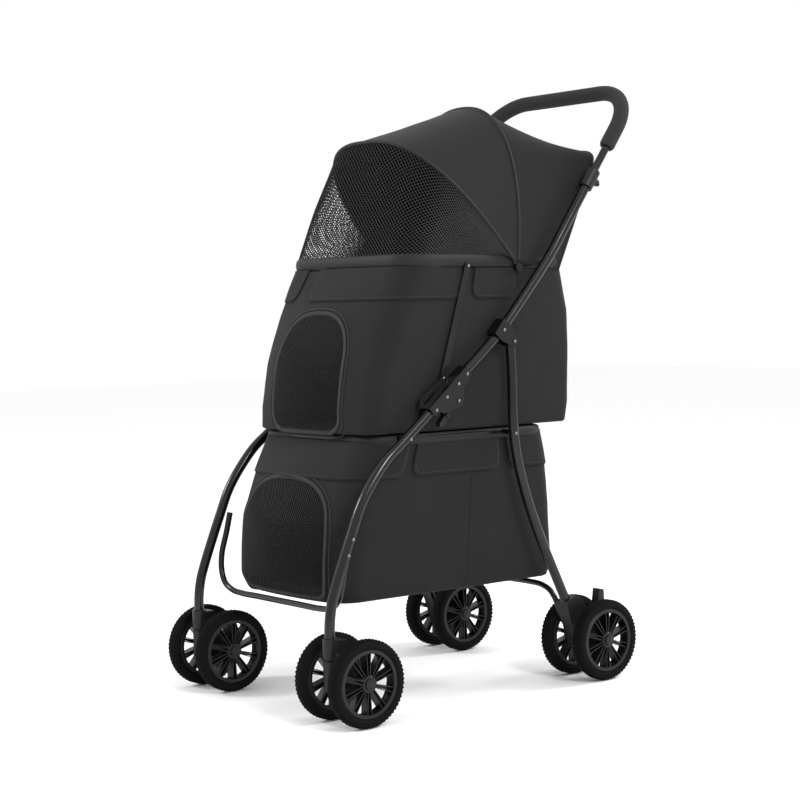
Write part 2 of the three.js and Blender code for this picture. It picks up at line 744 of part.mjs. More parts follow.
// ---- canopy cloth ----
const INSET = 5;
const ARCH_STEPS = 14;
const FOOT_TURN = 0.03;
const TUBE_EDGE = { x: 180, foot: { y: 238, z: 800 }, climb: 196, sideShare: 0.36 };
const lerpRows = (a, b, steps) =>
  Array.from({ length: steps + 1 }, (_, i) => a.map((point, j) => point.clone().lerp(b[j], i / steps)));
const frontRow = archRow({ ...FRONT_HOOP, halfWidth: 187 }, ARCH_STEPS, INSET, FOOT_TURN);
const rearRow = archRow({ ...REAR_HOOP, halfWidth: 187 }, ARCH_STEPS, INSET, FOOT_TURN);

/** The front edge of the mesh, which lies along the upper rim. */
function rimRow() {
  return Array.from({ length: ARCH_STEPS + 1 }, (_, i) => {
    const turn = FOOT_TURN + (i / ARCH_STEPS) * (Math.PI - 2 * FOOT_TURN);
    const forward = Math.sin(turn) ** 0.55;
    const across = Math.sign(Math.cos(turn)) * Math.abs(Math.cos(turn)) ** 0.55;
    return p3(across * 172, 128 - forward * 218, UPPER_RIM_PIVOT.z + 12);
  });
}

/** A point beside the push tube, a distance up its slope from the foot of the canopy's rear edge. */
const besideTube = (x, climb) =>
  p3(
    x,
    TUBE_EDGE.foot.y + climb * Math.cos(handleSlope),
    TUBE_EDGE.foot.z + climb * Math.sin(handleSlope),
  );

/** The rear edge of the canopy: up one push tube, across, and down the other. */
function tubeRow() {
  return Array.from({ length: ARCH_STEPS + 1 }, (_, i) => {
    const share = i / ARCH_STEPS;
    const fromEnd = Math.min(share, 1 - share);
    const climb = Math.min(fromEnd / TUBE_EDGE.sideShare, 1) * TUBE_EDGE.climb;
    const inward = Math.max(fromEnd - TUBE_EDGE.sideShare, 0) / (0.5 - TUBE_EDGE.sideShare);
    return besideTube(Math.sign(0.5 - share) * TUBE_EDGE.x * (1 - inward), climb);
  });
}

/** The flat panel that closes the back between the push tubes. */
function backPanel() {
  const halfWidth = TUBE_EDGE.x - 6;
  const row = (climb) => [1, 0, -1].map((side) => besideTube(side * halfWidth, climb));
  return slab([row(TUBE_EDGE.climb - 8), row(TUBE_EDGE.climb / 2), row(2)], CLOTH);
}
const gapRow = (row, towards, share) => row.map((point, j) => point.clone().lerp(towards[j], share));
const sheetBetween = (from, to) => slab(lerpRows(from, to, 4), CLOTH);
add("canopy_mesh", sheetBetween(rimRow(), gapRow(frontRow, rimRow(), 0.02)), MESH);
add("canopy_front", sheetBetween(gapRow(frontRow, rearRow, 0.02), gapRow(rearRow, frontRow, 0.02)), OXFORD);
add("canopy_rear", sheetBetween(gapRow(rearRow, tubeRow(), 0.03), tubeRow()), OXFORD);
add("canopy_back", backPanel(), OXFORD);

// ---- fabric baskets ----
const WALL = 5;
/** An open-topped sewn box through levels of [z, half width, front, rear, corner]. */
function basket(levels, floorThickness) {
  const outer = levels.map(([z, w, front, rear, corner]) => loopAt(w, front, rear, corner, z, 4));
  const inner = levels
    .map(([z, w, front, rear, corner], i) =>
      loopAt(w - WALL, front + WALL, rear - WALL, corner - WALL, i === 0 ? z + floorThickness : z, 4),
    )
    .reverse();
  return skin([...outer, ...inner], true);
}
const UPPER_LEVELS = [
  [480, 164, -166, 258, 36],
  [520, 170, -168, 266, 42],
  [765, 178, -98, 262, 56],
];
const LOWER_LEVELS = [
  [192, 150, -230, 240, 34],
  [222, 156, -238, 246, 40],
  [460, 168, -178, 230, 46],
];
add("upper_basket", basket(UPPER_LEVELS, 8), OXFORD);
add("lower_basket", basket(LOWER_LEVELS, 8), OXFORD);

export default stroller;
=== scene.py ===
"""A folding two-deck pet stroller: tubes, wheels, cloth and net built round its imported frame.

Lengths are metres unless a name ends in _mm. +Z is up, -Y is towards the front casters and
+X is the near side.
"""

import logging
import math
from collections.abc import Callable, Sequence
from dataclasses import dataclass, replace
from enum import Enum

import bmesh
import bpy
from mathutils import Matrix, Vector, noise
from mathutils.bvhtree import BVHTree


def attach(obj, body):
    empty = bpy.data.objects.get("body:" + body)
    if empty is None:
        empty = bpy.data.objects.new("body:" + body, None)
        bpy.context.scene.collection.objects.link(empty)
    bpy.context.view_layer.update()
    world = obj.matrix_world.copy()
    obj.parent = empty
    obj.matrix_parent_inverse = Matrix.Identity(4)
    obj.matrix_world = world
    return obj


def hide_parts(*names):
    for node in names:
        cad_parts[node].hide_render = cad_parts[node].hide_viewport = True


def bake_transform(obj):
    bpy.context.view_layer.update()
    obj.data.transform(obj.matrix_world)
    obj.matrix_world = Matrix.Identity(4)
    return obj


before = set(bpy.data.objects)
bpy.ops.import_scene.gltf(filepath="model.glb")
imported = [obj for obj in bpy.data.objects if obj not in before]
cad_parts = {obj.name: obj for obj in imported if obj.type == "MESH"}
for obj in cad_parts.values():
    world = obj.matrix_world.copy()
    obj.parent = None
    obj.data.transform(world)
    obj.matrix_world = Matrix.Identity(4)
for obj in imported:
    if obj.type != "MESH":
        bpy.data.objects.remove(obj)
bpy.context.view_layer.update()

LOG = logging.getLogger("stroller")
MM = 0.001
MIDDLE_SHIFT_MM = -63.2
RAIL_X_MM = 203.0
CURVE_STEPS = 12
CLOTH_CREASE_DEG = 60.0
SPUN_CREASE_DEG = 35.0


class Side(Enum):
    """The two mirror-image sides, with the sign of their X."""

    RIGHT = 1
    LEFT = -1

    @property
    def word(self) -> str:
        """The side's name as the frame spells it."""
        return self.name.lower()


class Slot(Enum):
    """The record's material slots."""

    PAINT = "frame_paint"
    MOULDING = "moulding"
    RIM = "wheel_rim"
    TYRE = "tyre"
    GRIP = "grip"
    OXFORD = "oxford"
    MESH = "mesh"


class Grain(Enum):
    """How a finish's fine relief is laid out."""

    NONE = "none"
    SPECKLE = "speckle"
    WEAVE = "weave"


def at(x_mm: float, y_mm: float, z_mm: float) -> Vector:
    """Turns a place given from the middle of the wheelbase into the frame's metres.

    Args:
        x_mm: Distance across, to the near side.
        y_mm: Distance back from the middle of the wheelbase.
        z_mm: Height above the floor.

    Returns:
        The point in the frame.
    """
    return Vector((x_mm * MM, (y_mm + MIDDLE_SHIFT_MM) * MM, z_mm * MM))


def srgb(code: str) -> tuple[float, float, float, float]:
    """Turns a display colour into linear light.

    Args:
        code: Six hexadecimal digits after a hash.

    Returns:
        Red, green, blue and alpha.
    """
    channels = [int(code[i : i + 2], 16) / 255 for i in (1, 3, 5)]
    linear = [c / 12.92 if c <= 0.04045 else ((c + 0.055) / 1.055) ** 2.4 for c in channels]
    return (*linear, 1.0)


# ---- finishes ----
def add_node(
    tree: bpy.types.NodeTree, kind: str, inputs: dict | None = None, **settings: object
) -> bpy.types.Node:
    """Adds a node to a tree.

    Args:
        tree: The node tree.
        kind: The node's type name.
        inputs: Values or output sockets by input name or number.
        **settings: Plain properties of the node.

    Returns:
        The new node.
    """
    node = tree.nodes.new(kind)
    for name, value in settings.items():
        setattr(node, name, value)
    for name, value in (inputs or {}).items():
        if isinstance(value, bpy.types.NodeSocket):
            tree.links.new(value, node.inputs[name])
        else:
            node.inputs[name].default_value = value
    return node


@dataclass(frozen=True)
class Finish:
    """A surface finish, and how it is turned into a material."""

    name: str
    colour: str
    roughness: float
    metallic: float = 0.0
    coat: float = 0.0
    sheen: float = 0.0
    specular: float = 0.5
    grain: Grain = Grain.NONE
    pitch_mm: float = 1.0
    depth_mm: float = 0.05
    mottle: float = 0.0
    edge_mm: float = 0.0

    COAT_ROUGHNESS = 0.08
    SHEEN_ROUGHNESS = 0.5
    MOTTLE_SCALE = 9.0
    MOTTLE_STOPS = (0.3, 0.7)
    WAVES_PER_SCALE = 20

    def _height(self, tree: bpy.types.NodeTree, place: bpy.types.Node) -> bpy.types.NodeSocket:
        """Lays out the grain.

        Args:
            tree: The material's tree.
            place: The node that gives the coordinates.

        Returns:
            The grain's height, from 0 to 1.
        """
        if self.grain is Grain.SPECKLE:
            speckle = {
                "Vector": place.outputs["Object"], "Scale": 1 / (self.pitch_mm * MM), "Detail": 3.0,
            }
            return add_node(tree, "ShaderNodeTexNoise", speckle).outputs["Fac"]
        bands = 2 * math.pi / (self.WAVES_PER_SCALE * self.pitch_mm * MM)
        threads = {}
        for i, axis in enumerate("XY"):
            wave = {"Vector": place.outputs["UV"], "Scale": bands}
            threads[i] = add_node(tree, "ShaderNodeTexWave", wave, bands_direction=axis).outputs["Fac"]
        return add_node(tree, "ShaderNodeMath", threads, operation="MAXIMUM").outputs[0]

    def material(self) -> bpy.types.Material:
        """Builds the material.

        Returns:
            The material, with its shader set up.
        """
        made = bpy.data.materials.new(self.name)
        made.use_nodes = True
        tree = made.node_tree
        tree.nodes.clear()
        out = add_node(tree, "ShaderNodeOutputMaterial")
        shader = add_node(
            tree,
            "ShaderNodeBsdfPrincipled",
            {
                "Base Color": srgb(self.colour),
                "Roughness": self.roughness,
                "Metallic": self.metallic,
                "Coat Weight": self.coat,
                "Coat Roughness": self.COAT_ROUGHNESS,
                "Sheen Weight": self.sheen,
                "Sheen Roughness": self.SHEEN_ROUGHNESS,
            },
        )
        if self.metallic < 0.5:
            shader.inputs["Specular IOR Level"].default_value = self.specular
        tree.links.new(shader.outputs[0], out.inputs["Surface"])
        place = add_node(tree, "ShaderNodeTexCoord")
        if self.mottle > 0:
            patches = {"Vector": place.outputs["Object"], "Scale": self.MOTTLE_SCALE, "Detail": 4.0}
            cloud = add_node(tree, "ShaderNodeTexNoise", patches)
            light = [min(1.0, c * (1 + self.mottle)) for c in srgb(self.colour)[:3]]
            dark = [c * (1 - self.mottle) for c in srgb(self.colour)[:3]]
            ramp = add_node(tree, "ShaderNodeValToRGB", {"Fac": cloud.outputs["Fac"]})
            for stop, position, tone in zip(ramp.color_ramp.elements, self.MOTTLE_STOPS, (dark, light)):
                stop.position = position
                stop.color = (*tone, 1.0)
            tree.links.new(ramp.outputs["Color"], shader.inputs["Base Color"])
        normal = None
        if self.edge_mm > 0:
            normal = add_node(tree, "ShaderNodeBevel", {"Radius": self.edge_mm * MM}, samples=4).outputs[0]
            tree.links.new(normal, shader.inputs["Normal"])
        if self.grain is not Grain.NONE:
            relief = {
                "Height": self._height(tree, place), "Distance": self.depth_mm * MM, "Strength": 1.0,
            }
            if normal is not None:
                relief["Normal"] = normal
            bump = add_node(tree, "ShaderNodeBump", relief)
            tree.links.new(bump.outputs[0], shader.inputs["Normal"])
        return made


class Finishes:
    """Every material the stroller uses."""

    def __init__(self) -> None:
        """Builds the materials."""
        # Gloss black stove enamel on steel tube: a thin bright highlight on near black.
        self.enamel = Finish("enamel", "#0b0b0c", 0.24, coat=0.1, specular=0.3, edge_mm=0.6).material()
        # Round tube in the same enamel, with no edges to soften.
        self.tube_enamel = Finish("tube_enamel", "#0b0b0c", 0.2, coat=0.15, specular=0.3).material()
        # Glass-filled nylon moulding: satin black with a faint pebble.
        self.nylon = Finish(
            "nylon", "#121213", 0.42, specular=0.3, grain=Grain.SPECKLE,
            pitch_mm=0.9, depth_mm=0.03, edge_mm=0.8,
        ).material()
        # Zinc-plated steel rivet heads: small grey glints along the hubs.
        self.rivet = Finish("rivet_steel", "#77777a", 0.3, metallic=1.0).material()
        # 600D polyester oxford: soft black, matt, with a plain weave and slight unevenness.
        self.oxford = Finish(
            "oxford", "#1c1c1d", 0.85, sheen=0.04, specular=0.15, grain=Grain.WEAVE,
            pitch_mm=0.7, depth_mm=0.05, mottle=0.08,
        ).material()
        # Binding tape, a little smoother and darker than the cloth that it edges.
        self.binding = Finish(
            "binding", "#171718", 0.62, sheen=0.04, specular=0.25, grain=Grain.WEAVE,
            pitch_mm=0.9, depth_mm=0.06,
        ).material()
        # Polyester net yarn: a little paler than the cloth, so the holes read dark against it.
        self.yarn = Finish("net_yarn", "#242426", 0.6, specular=0.3).material()
        # Bonded nylon sewing thread: a fine grey line of beads along the edges.
        self.thread = Finish("thread", "#39393c", 0.6, specular=0.4).material()
        # EVA foam tyre: dead black and matt, with a fine moulded grain.
        self.tyre = Finish(
            "tyre", "#0d0d0e", 0.8, specular=0.08, grain=Grain.SPECKLE, pitch_mm=1.2, depth_mm=0.06
        ).material()
        # Injection-moulded polypropylene rim: satin black, with soft glints on the spokes.
        self.rim = Finish("rim", "#0f0f10", 0.36, specular=0.3, edge_mm=0.5).material()
        # Closed-cell foam grip: dark grey and very matt, with a fine open grain.
        self.foam = Finish(
            "foam", "#2a2a2c", 0.92, sheen=0.03, specular=0.12, grain=Grain.SPECKLE,
            pitch_mm=1.6, depth_mm=0.12,
        ).material()


# ---- curves and meshes ----
def through(points: Sequence[Vector], count: int) -> list[Vector]:
    """Draws a smooth curve through points and spaces new points evenly along it.

    Args:
        points: The places to pass through.
        count: How many points to return.

    Returns:
        The points along the curve.
    """
    known = [Vector(p) for p in points]
    known = [known[0] * 2 - known[1], *known, known[-1] * 2 - known[-2]]
    dense: list[Vector] = []
    for p0, p1, p2, p3 in zip(known, known[1:], known[2:], known[3:]):
        t1 = max((p1 - p0).length, 1e-9) ** 0.5
        t2 = t1 + max((p2 - p1).length, 1e-9) ** 0.5
        t3 = t2 + max((p3 - p2).length, 1e-9) ** 0.5
        for step in range(CURVE_STEPS):
            t = t1 + (t2 - t1) * step / CURVE_STEPS
            a1 = p0.lerp(p1, t / t1)
            a2 = p1.lerp(p2, (t - t1) / (t2 - t1))
            a3 = p2.lerp(p3, (t - t2) / (t3 - t2))
            b1 = a1.lerp(a2, t / t2)
            b2 = a2.lerp(a3, (t - t1) / (t3 - t1))
            dense.append(b1.lerp(b2, (t - t1) / (t2 - t1)))
    dense.append(known[-2].copy())
    return even(dense, count)


def even(path: Sequence[Vector], count: int, closed: bool = False) -> list[Vector]:
    """Spaces points evenly along a line of short steps.

    Args:
        path: The line.
        count: How many points to return.
        closed: Whether the last point would repeat the first.

    Returns:
        The evenly spaced points.
    """
    runs = [0.0]
    for a, b in zip(path, path[1:]):
        runs.append(runs[-1] + (b - a).length)
    spans = count if closed else count - 1
    found = []
    k = 0
    for i in range(count):
        goal = runs[-1] * i / spans
        while k < len(path) - 2 and runs[k + 1] < goal:
            k += 1
        share = (goal - runs[k]) / max(runs[k + 1] - runs[k], 1e-12)
        found.append(path[k].lerp(path[k + 1], min(max(share, 0.0), 1.0)))
    return found


def mesh_object(
    name: str, points: Sequence[Vector], faces: Sequence[Sequence[int]], material: bpy.types.Material,
    edges: Sequence[tuple[int, int]] = (), crease_deg: float = 40.0,
) -> bpy.types.Object:
    """Makes a mesh object with smooth shading.

    Args:
        name: The object's name.
        points: Its vertices.
        faces: Its faces as vertex numbers.
        material: Its material.
        edges: Loose edges, for wires.
        crease_deg: The angle above which an edge stays sharp.

    Returns:
        The new object, linked to the scene.
    """
    mesh = bpy.data.meshes.new(name)
    mesh.from_pydata([tuple(p) for p in points], [tuple(e) for e in edges], [tuple(f) for f in faces])
    mesh.materials.append(material)
    if faces:
        mesh.shade_smooth()
        mesh.set_sharp_from_angle(angle=math.radians(crease_deg))
    made = bpy.data.objects.new(name, mesh)
    bpy.context.scene.collection.objects.link(made)
    return made


def turn_outward(obj: bpy.types.Object) -> None:
    """Makes a closed mesh's faces point outward.

    Args:
        obj: The object to mend.
    """
    work = bmesh.new()
    work.from_mesh(obj.data)
    bmesh.ops.recalc_face_normals(work, faces=work.faces)
    work.to_mesh(obj.data)
    work.free()


def freeze(obj: bpy.types.Object) -> bpy.types.Object:
    """Turns an object's modifiers into plain mesh.

    Args:
        obj: The object.

    Returns:
        The same object.
    """
    graph = bpy.context.evaluated_depsgraph_get()
    mesh = bpy.data.meshes.new_from_object(obj.evaluated_get(graph), depsgraph=graph)
    obj.modifiers.clear()
    obj.data = mesh
    return obj


def grid_surface(
    name: str, rows: Sequence[Sequence[Vector]], material: bpy.types.Material, wrap: bool = False
) -> bpy.types.Object:
    """Makes a surface through a grid of points, with its cloth coordinates in metres.

    Args:
        name: The object's name.
        rows: Rows of equally many points.
        material: Its material.
        wrap: Whether each row returns to its first point.

    Returns:
        The new object.
    """
    columns = len(rows[0])
    points = [p for row in rows for p in row]
    faces = []
    for r in range(len(rows) - 1):
        for k in range(columns if wrap else columns - 1):
            a, b = r * columns + k, r * columns + (k + 1) % columns
            faces.append((a, b, b + columns, a + columns))
    made = mesh_object(name, points, faces, material, crease_deg=CLOTH_CREASE_DEG)
    layer = made.data.uv_layers.new(name="cloth")
    middle = rows[len(rows) // 2]
    across = [0.0]
    for a, b in zip(middle, [*middle[1:], middle[0]]):
        across.append(across[-1] + (b - a).length)
    up = [0.0]
    for a, b in zip(rows, rows[1:]):
        up.append(up[-1] + (b[0] - a[0]).length)
    for polygon in made.data.polygons:
        corners = [made.data.loops[i].vertex_index for i in polygon.loop_indices]
        seam = wrap and {0, columns - 1} <= {c % columns for c in corners}
        for i, corner in zip(polygon.loop_indices, corners):
            k = columns if seam and corner % columns == 0 else corner % columns
            layer.data[i].uv = (across[k], up[corner // columns])
    return made


def thicken(obj: bpy.types.Object, thickness: float) -> bpy.types.Object:
    """Gives a surface an even thickness, half to each side.

    Args:
        obj: The surface.
        thickness: The cloth's thickness.

    Returns:
        The same object, closed.
    """
    solid = obj.modifiers.new("thickness", "SOLIDIFY")
    solid.thickness = thickness
    solid.offset = 0.0
    freeze(obj)
    turn_outward(obj)
    return obj


def ring(radius: float, sides: int = 20, flat: float = 1.0) -> list[tuple[float, float]]:
    """A round or oval section.

    Args:
        radius: Its radius along the first direction.
        sides: How many sides it has.
        flat: Its second radius as a share of the first.

    Returns:
        The section's corners.
    """
    turns = [2 * math.pi * i / sides for i in range(sides)]
    return [(radius * math.cos(t), radius * flat * math.sin(t)) for t in turns]


def sweep(
    name: str, path: Sequence[Vector], section: Sequence[tuple[float, float]],
    material: bpy.types.Material, closed: bool = False, level: Vector | None = None, width: Callable[[float], float] | None = None,
) -> bpy.types.Object:
    """Carries a section along a path.

    Args:
        name: The object's name.
        path: The path's points.
        section: The section's corners.
        material: Its material.
        closed: Whether the path returns to its start.
        level: The direction that the section's second axis keeps to, if it keeps to one.
        width: The section's size along the path, from a share of 0 to 1.

    Returns:
        The new object.
    """
    count = len(path)
    tangents = []
    for i in range(count):
        before = path[i - 1] if i or closed else path[0]
        after = path[(i + 1) % count] if i < count - 1 or closed else path[-1]
        tangents.append((after - before).normalized())
    start = Vector((0, 0, 1)) if abs(tangents[0].z) < 0.9 else Vector((1, 0, 0))
    carried = (start - tangents[0] * start.dot(tangents[0])).normalized()
    points = []
    for i, (place, along) in enumerate(zip(path, tangents)):
        reference = level if level is not None else carried
        second = (reference - along * reference.dot(along)).normalized()
        carried = second
        first = second.cross(along)
        size = width(i / (count - 1)) if width else 1.0
        points.extend(place + first * (a * size) + second * (b * size) for a, b in section)
    sides = len(section)
    faces = []
    for i in range(count if closed else count - 1):
        for k in range(sides):
            a, b = i * sides + k, i * sides + (k + 1) % sides
            c, d = ((i + 1) % count) * sides + (k + 1) % sides, ((i + 1) % count) * sides + k
            faces.append((a, b, c, d))
    if not closed:
        faces.append(tuple(range(sides)))
        faces.append(tuple((count - 1) * sides + k for k in range(sides)))
    made = mesh_object(name, points, faces, material)
    turn_outward(made)
    return made


def spin(
    name: str, profile: Sequence[tuple[float, float]], segments: int, material: bpy.types.Material
) -> bpy.types.Object:
    """Turns a closed profile round the X axis.

    Args:
        name: The object's name.
        profile: Radius and X of each corner, in millimetres, closing on itself.
        segments: Steps round the axis.
        material: Its material.

    Returns:
        The new object, centred on the axis.
    """
    count = len(profile)
    points = []
    for i in range(segments):
        turn = 2 * math.pi * i / segments
        for r, x in profile:
            points.append(Vector((x * MM, r * MM * math.cos(turn), r * MM * math.sin(turn))))
    faces = []
    for i in range(segments):
        for k in range(count):
            a, b = i * count + k, i * count + (k + 1) % count
            c, d = ((i + 1) % segments) * count + (k + 1) % count, ((i + 1) % segments) * count + k
            faces.append((a, b, c, d))
    made = mesh_object(name, points, faces, material, crease_deg=SPUN_CREASE_DEG)
    turn_outward(made)
    return made


def merged(name: str, parts: Sequence[bpy.types.Object]) -> bpy.types.Object:
    """Joins objects into one mesh, keeping each one's material.

    Args:
        name: The joined object's name.
        parts: The objects, which are used up.

    Returns:
        The joined object.
    """
    work = bmesh.new()
    materials: list[bpy.types.Material] = []
    for part in parts:
        start = len(work.faces)
        work.from_mesh(part.data)
        work.faces.ensure_lookup_table()
        own = list(part.data.materials)
        for face in work.faces[start:]:
            material = own[face.material_index]
            if material not in materials:
                materials.append(material)
            face.material_index = materials.index(material)
    mesh = bpy.data.meshes.new(name)
    work.to_mesh(mesh)
    work.free()
    for material in materials:
        mesh.materials.append(material)
    made = bpy.data.objects.new(name, mesh)
    bpy.context.scene.collection.objects.link(made)
    for part in parts:
        bpy.data.objects.remove(part)
    return made


def length_of(path: Sequence[Vector]) -> float:
    """The length of a line of short steps in metres."""
    return sum((b - a).length for a, b in zip(path, path[1:]))


def area_of(obj: bpy.types.Object) -> float:
    """The area of a mesh's faces in square metres."""
    return sum(polygon.area for polygon in obj.data.polygons)


def lattice(
    columns: int, rows: int, place: Callable[[int, int], Vector | None], by_row: bool = False
) -> tuple[list[Vector], list[tuple[int, int]]]:
    """Sets out the knots of a diamond net and the yarns between them.

    Args:
        columns: How many half diamonds it is across.
        rows: How many half diamonds it is high.
        place: Gives the knot at a column and row, or nothing where the net has none.
        by_row: Whether the knots are numbered row by row, and not column by column.

    Returns:
        The knots, and the pairs of knots that yarn joins.
    """
    index: dict[tuple[int, int], int] = {}
    knots: list[Vector] = []
    cells = [(i, k) for i in range(columns) for k in range(i % 2, rows, 2)]
    if by_row:
        cells.sort(key=lambda cell: cell[1])
    for cell in cells:
        knot = place(*cell)
        if knot is not None:
            index[cell] = len(knots)
            knots.append(knot)
    edges = [
        (knot, index[(i + 1, k + step)])
        for (i, k), knot in index.items()
        for step in (1, -1)
        if (i + 1, k + step) in index
    ]
    return knots, edges


# ---- repeated details ----
class DetailTrees:
    """The node trees that set out rivets, stitches, net and tread."""

    STITCH_STRETCH = 3.4
    YARN_SIDES = 3
    LUG_TOP = 0.0012

    def __init__(self) -> None:
        """Builds the four trees."""
        self.rivets = self._rivets()
        self.stitches = self._stitches()
        self.net = self._net()
        self.tread = self._tread()

    @staticmethod
    def _tree(name: str, sizes: dict[str, float]) -> tuple[bpy.types.NodeTree, object, bpy.types.Node]:
        """Starts a tree with geometry in, its sizes and a material, and geometry out.

        Args:
            name: The tree's name.
            sizes: The default of each size by its name.

        Returns:
            The tree, its input sockets and its output node.
        """
        tree = bpy.data.node_groups.new(name, "GeometryNodeTree")
        socket = tree.interface.new_socket
        socket("Geometry", in_out="INPUT", socket_type="NodeSocketGeometry")
        for label, default in sizes.items():
            socket(label, in_out="INPUT", socket_type="NodeSocketFloat").default_value = default
        socket("Material", in_out="INPUT", socket_type="NodeSocketMaterial")
        socket("Geometry", in_out="OUTPUT", socket_type="NodeSocketGeometry")
        return tree, add_node(tree, "NodeGroupInput").outputs, add_node(tree, "NodeGroupOutput")

    @staticmethod
    def _close(
        tree: bpy.types.NodeTree, shape: bpy.types.NodeSocket, source: object, out: bpy.types.Node
    ) -> bpy.types.NodeTree:
        """Ends a tree with Realize Instances, smooth shading and Set Material.

        Args:
            tree: The tree.
            shape: The geometry to finish.
            source: The tree's input sockets.
            out: The tree's output node.

        Returns:
            The finished tree.
        """
        real = add_node(tree, "GeometryNodeRealizeInstances", {"Geometry": shape})
        smooth = add_node(tree, "GeometryNodeSetShadeSmooth", {0: real.outputs[0]})
        finish = {"Geometry": smooth.outputs[0], "Material": source["Material"]}
        done = add_node(tree, "GeometryNodeSetMaterial", finish)
        tree.links.new(done.outputs[0], out.inputs[0])
        return tree

    @staticmethod
    def _ball(
        tree: bpy.types.NodeTree, source: object, detail: tuple[int, int], scale: dict[str, object]
    ) -> bpy.types.NodeSocket:
        """A ball of the tree's radius, drawn out or flattened.

        Args:
            tree: The tree.
            source: The tree's input sockets.
            detail: Its segments and rings.
            scale: Its size along each axis.

        Returns:
            The ball's geometry.
        """
        size = {"Segments": detail[0], "Rings": detail[1], "Radius": source["Radius"]}
        ball = add_node(tree, "GeometryNodeMeshUVSphere", size)
        stretch = add_node(tree, "ShaderNodeCombineXYZ", scale)
        shaped = {"Geometry": ball.outputs[0], "Scale": stretch.outputs[0]}
        return add_node(tree, "GeometryNodeTransform", shaped).outputs[0]

    def _rivets(self) -> bpy.types.NodeTree:
        """A flattened dome on every point.

        Returns:
            The tree.
        """
        tree, source, out = self._tree("rivets", {"Radius": 0.003, "Flatten": 0.6})
        dome = self._ball(tree, source, (14, 8), {"X": source["Flatten"], "Y": 1.0, "Z": 1.0})
        set_out = {"Points": source["Geometry"], "Instance": dome}
        heads = add_node(tree, "GeometryNodeInstanceOnPoints", set_out)
        return self._close(tree, heads.outputs[0], source, out)

    def _stitches(self) -> bpy.types.NodeTree:
        """Short threads laid end to end along a line.

        Returns:
            The tree.
        """
        tree, source, out = self._tree("stitches", {"Pitch": 0.004, "Radius": 0.0004})
        line = add_node(tree, "GeometryNodeMeshToCurve", {"Mesh": source["Geometry"]})
        along = {"Curve": line.outputs[0], "Length": source["Pitch"]}
        spots = add_node(tree, "GeometryNodeCurveToPoints", along, mode="LENGTH").outputs
        thread = self._ball(tree, source, (6, 4), {"X": 1.0, "Y": 1.0, "Z": self.STITCH_STRETCH})
        set_out = {"Points": spots["Points"], "Instance": thread, "Rotation": spots["Rotation"]}
        threads = add_node(tree, "GeometryNodeInstanceOnPoints", set_out)
        return self._close(tree, threads.outputs[0], source, out)

    def _net(self) -> bpy.types.NodeTree:
        """Yarn along every edge.

        Returns:
            The tree.
        """
        tree, source, out = self._tree("net", {"Radius": 0.0004})
        lines = add_node(tree, "GeometryNodeMeshToCurve", {"Mesh": source["Geometry"]})
        round_yarn = {"Resolution": self.YARN_SIDES, "Radius": source["Radius"]}
        section = add_node(tree, "GeometryNodeCurvePrimitiveCircle", round_yarn)
        carried = {"Curve": lines.outputs[0], "Profile Curve": section.outputs[0], "Fill Caps": True}
        yarn = add_node(tree, "GeometryNodeCurveToMesh", carried)
        return self._close(tree, yarn.outputs[0], source, out)

    def _tread(self) -> bpy.types.NodeTree:
        """A low four-sided lug on every point, standing out from the wheel's axis.

        Returns:
            The tree.
        """
        tree, source, out = self._tree("tread", {"Radius": 0.003, "Height": 0.001})
        taper = {"Vertices": 4, "Radius Top": self.LUG_TOP, "Radius Bottom": source["Radius"]}
        lug = add_node(tree, "GeometryNodeMeshCone", {**taper, "Depth": source["Height"]})
        place = add_node(tree, "GeometryNodeInputPosition")
        off_axis = {0: place.outputs[0], 1: (0.0, 1.0, 1.0)}
        outward = add_node(tree, "ShaderNodeVectorMath", off_axis, operation="MULTIPLY")
        facing = {"Vector": outward.outputs[0]}
        turn = add_node(tree, "FunctionNodeAlignRotationToVector", facing, axis="Z")
        set_out = {"Points": source["Geometry"], "Instance": lug.outputs[0], "Rotation": turn.outputs[0]}
        lugs = add_node(tree, "GeometryNodeInstanceOnPoints", set_out)
        return self._close(tree, lugs.outputs[0], source, out)

    @staticmethod
    def apply(
        obj: bpy.types.Object, tree: bpy.types.NodeTree, values: dict[str, object]
    ) -> bpy.types.Object:
        """Runs a tree on an object and keeps the result as plain mesh.

        Args:
            obj: The object with the points or lines.
            tree: The tree.
            values: The tree's inputs by name.

        Returns:
            The same object.
        """
        modifier = obj.modifiers.new(tree.name, "NODES")
        modifier.node_group = tree
        for item in tree.interface.items_tree:
            if item.in_out == "INPUT" and item.name in values:
                modifier[item.identifier] = values[item.name]
        return freeze(obj)


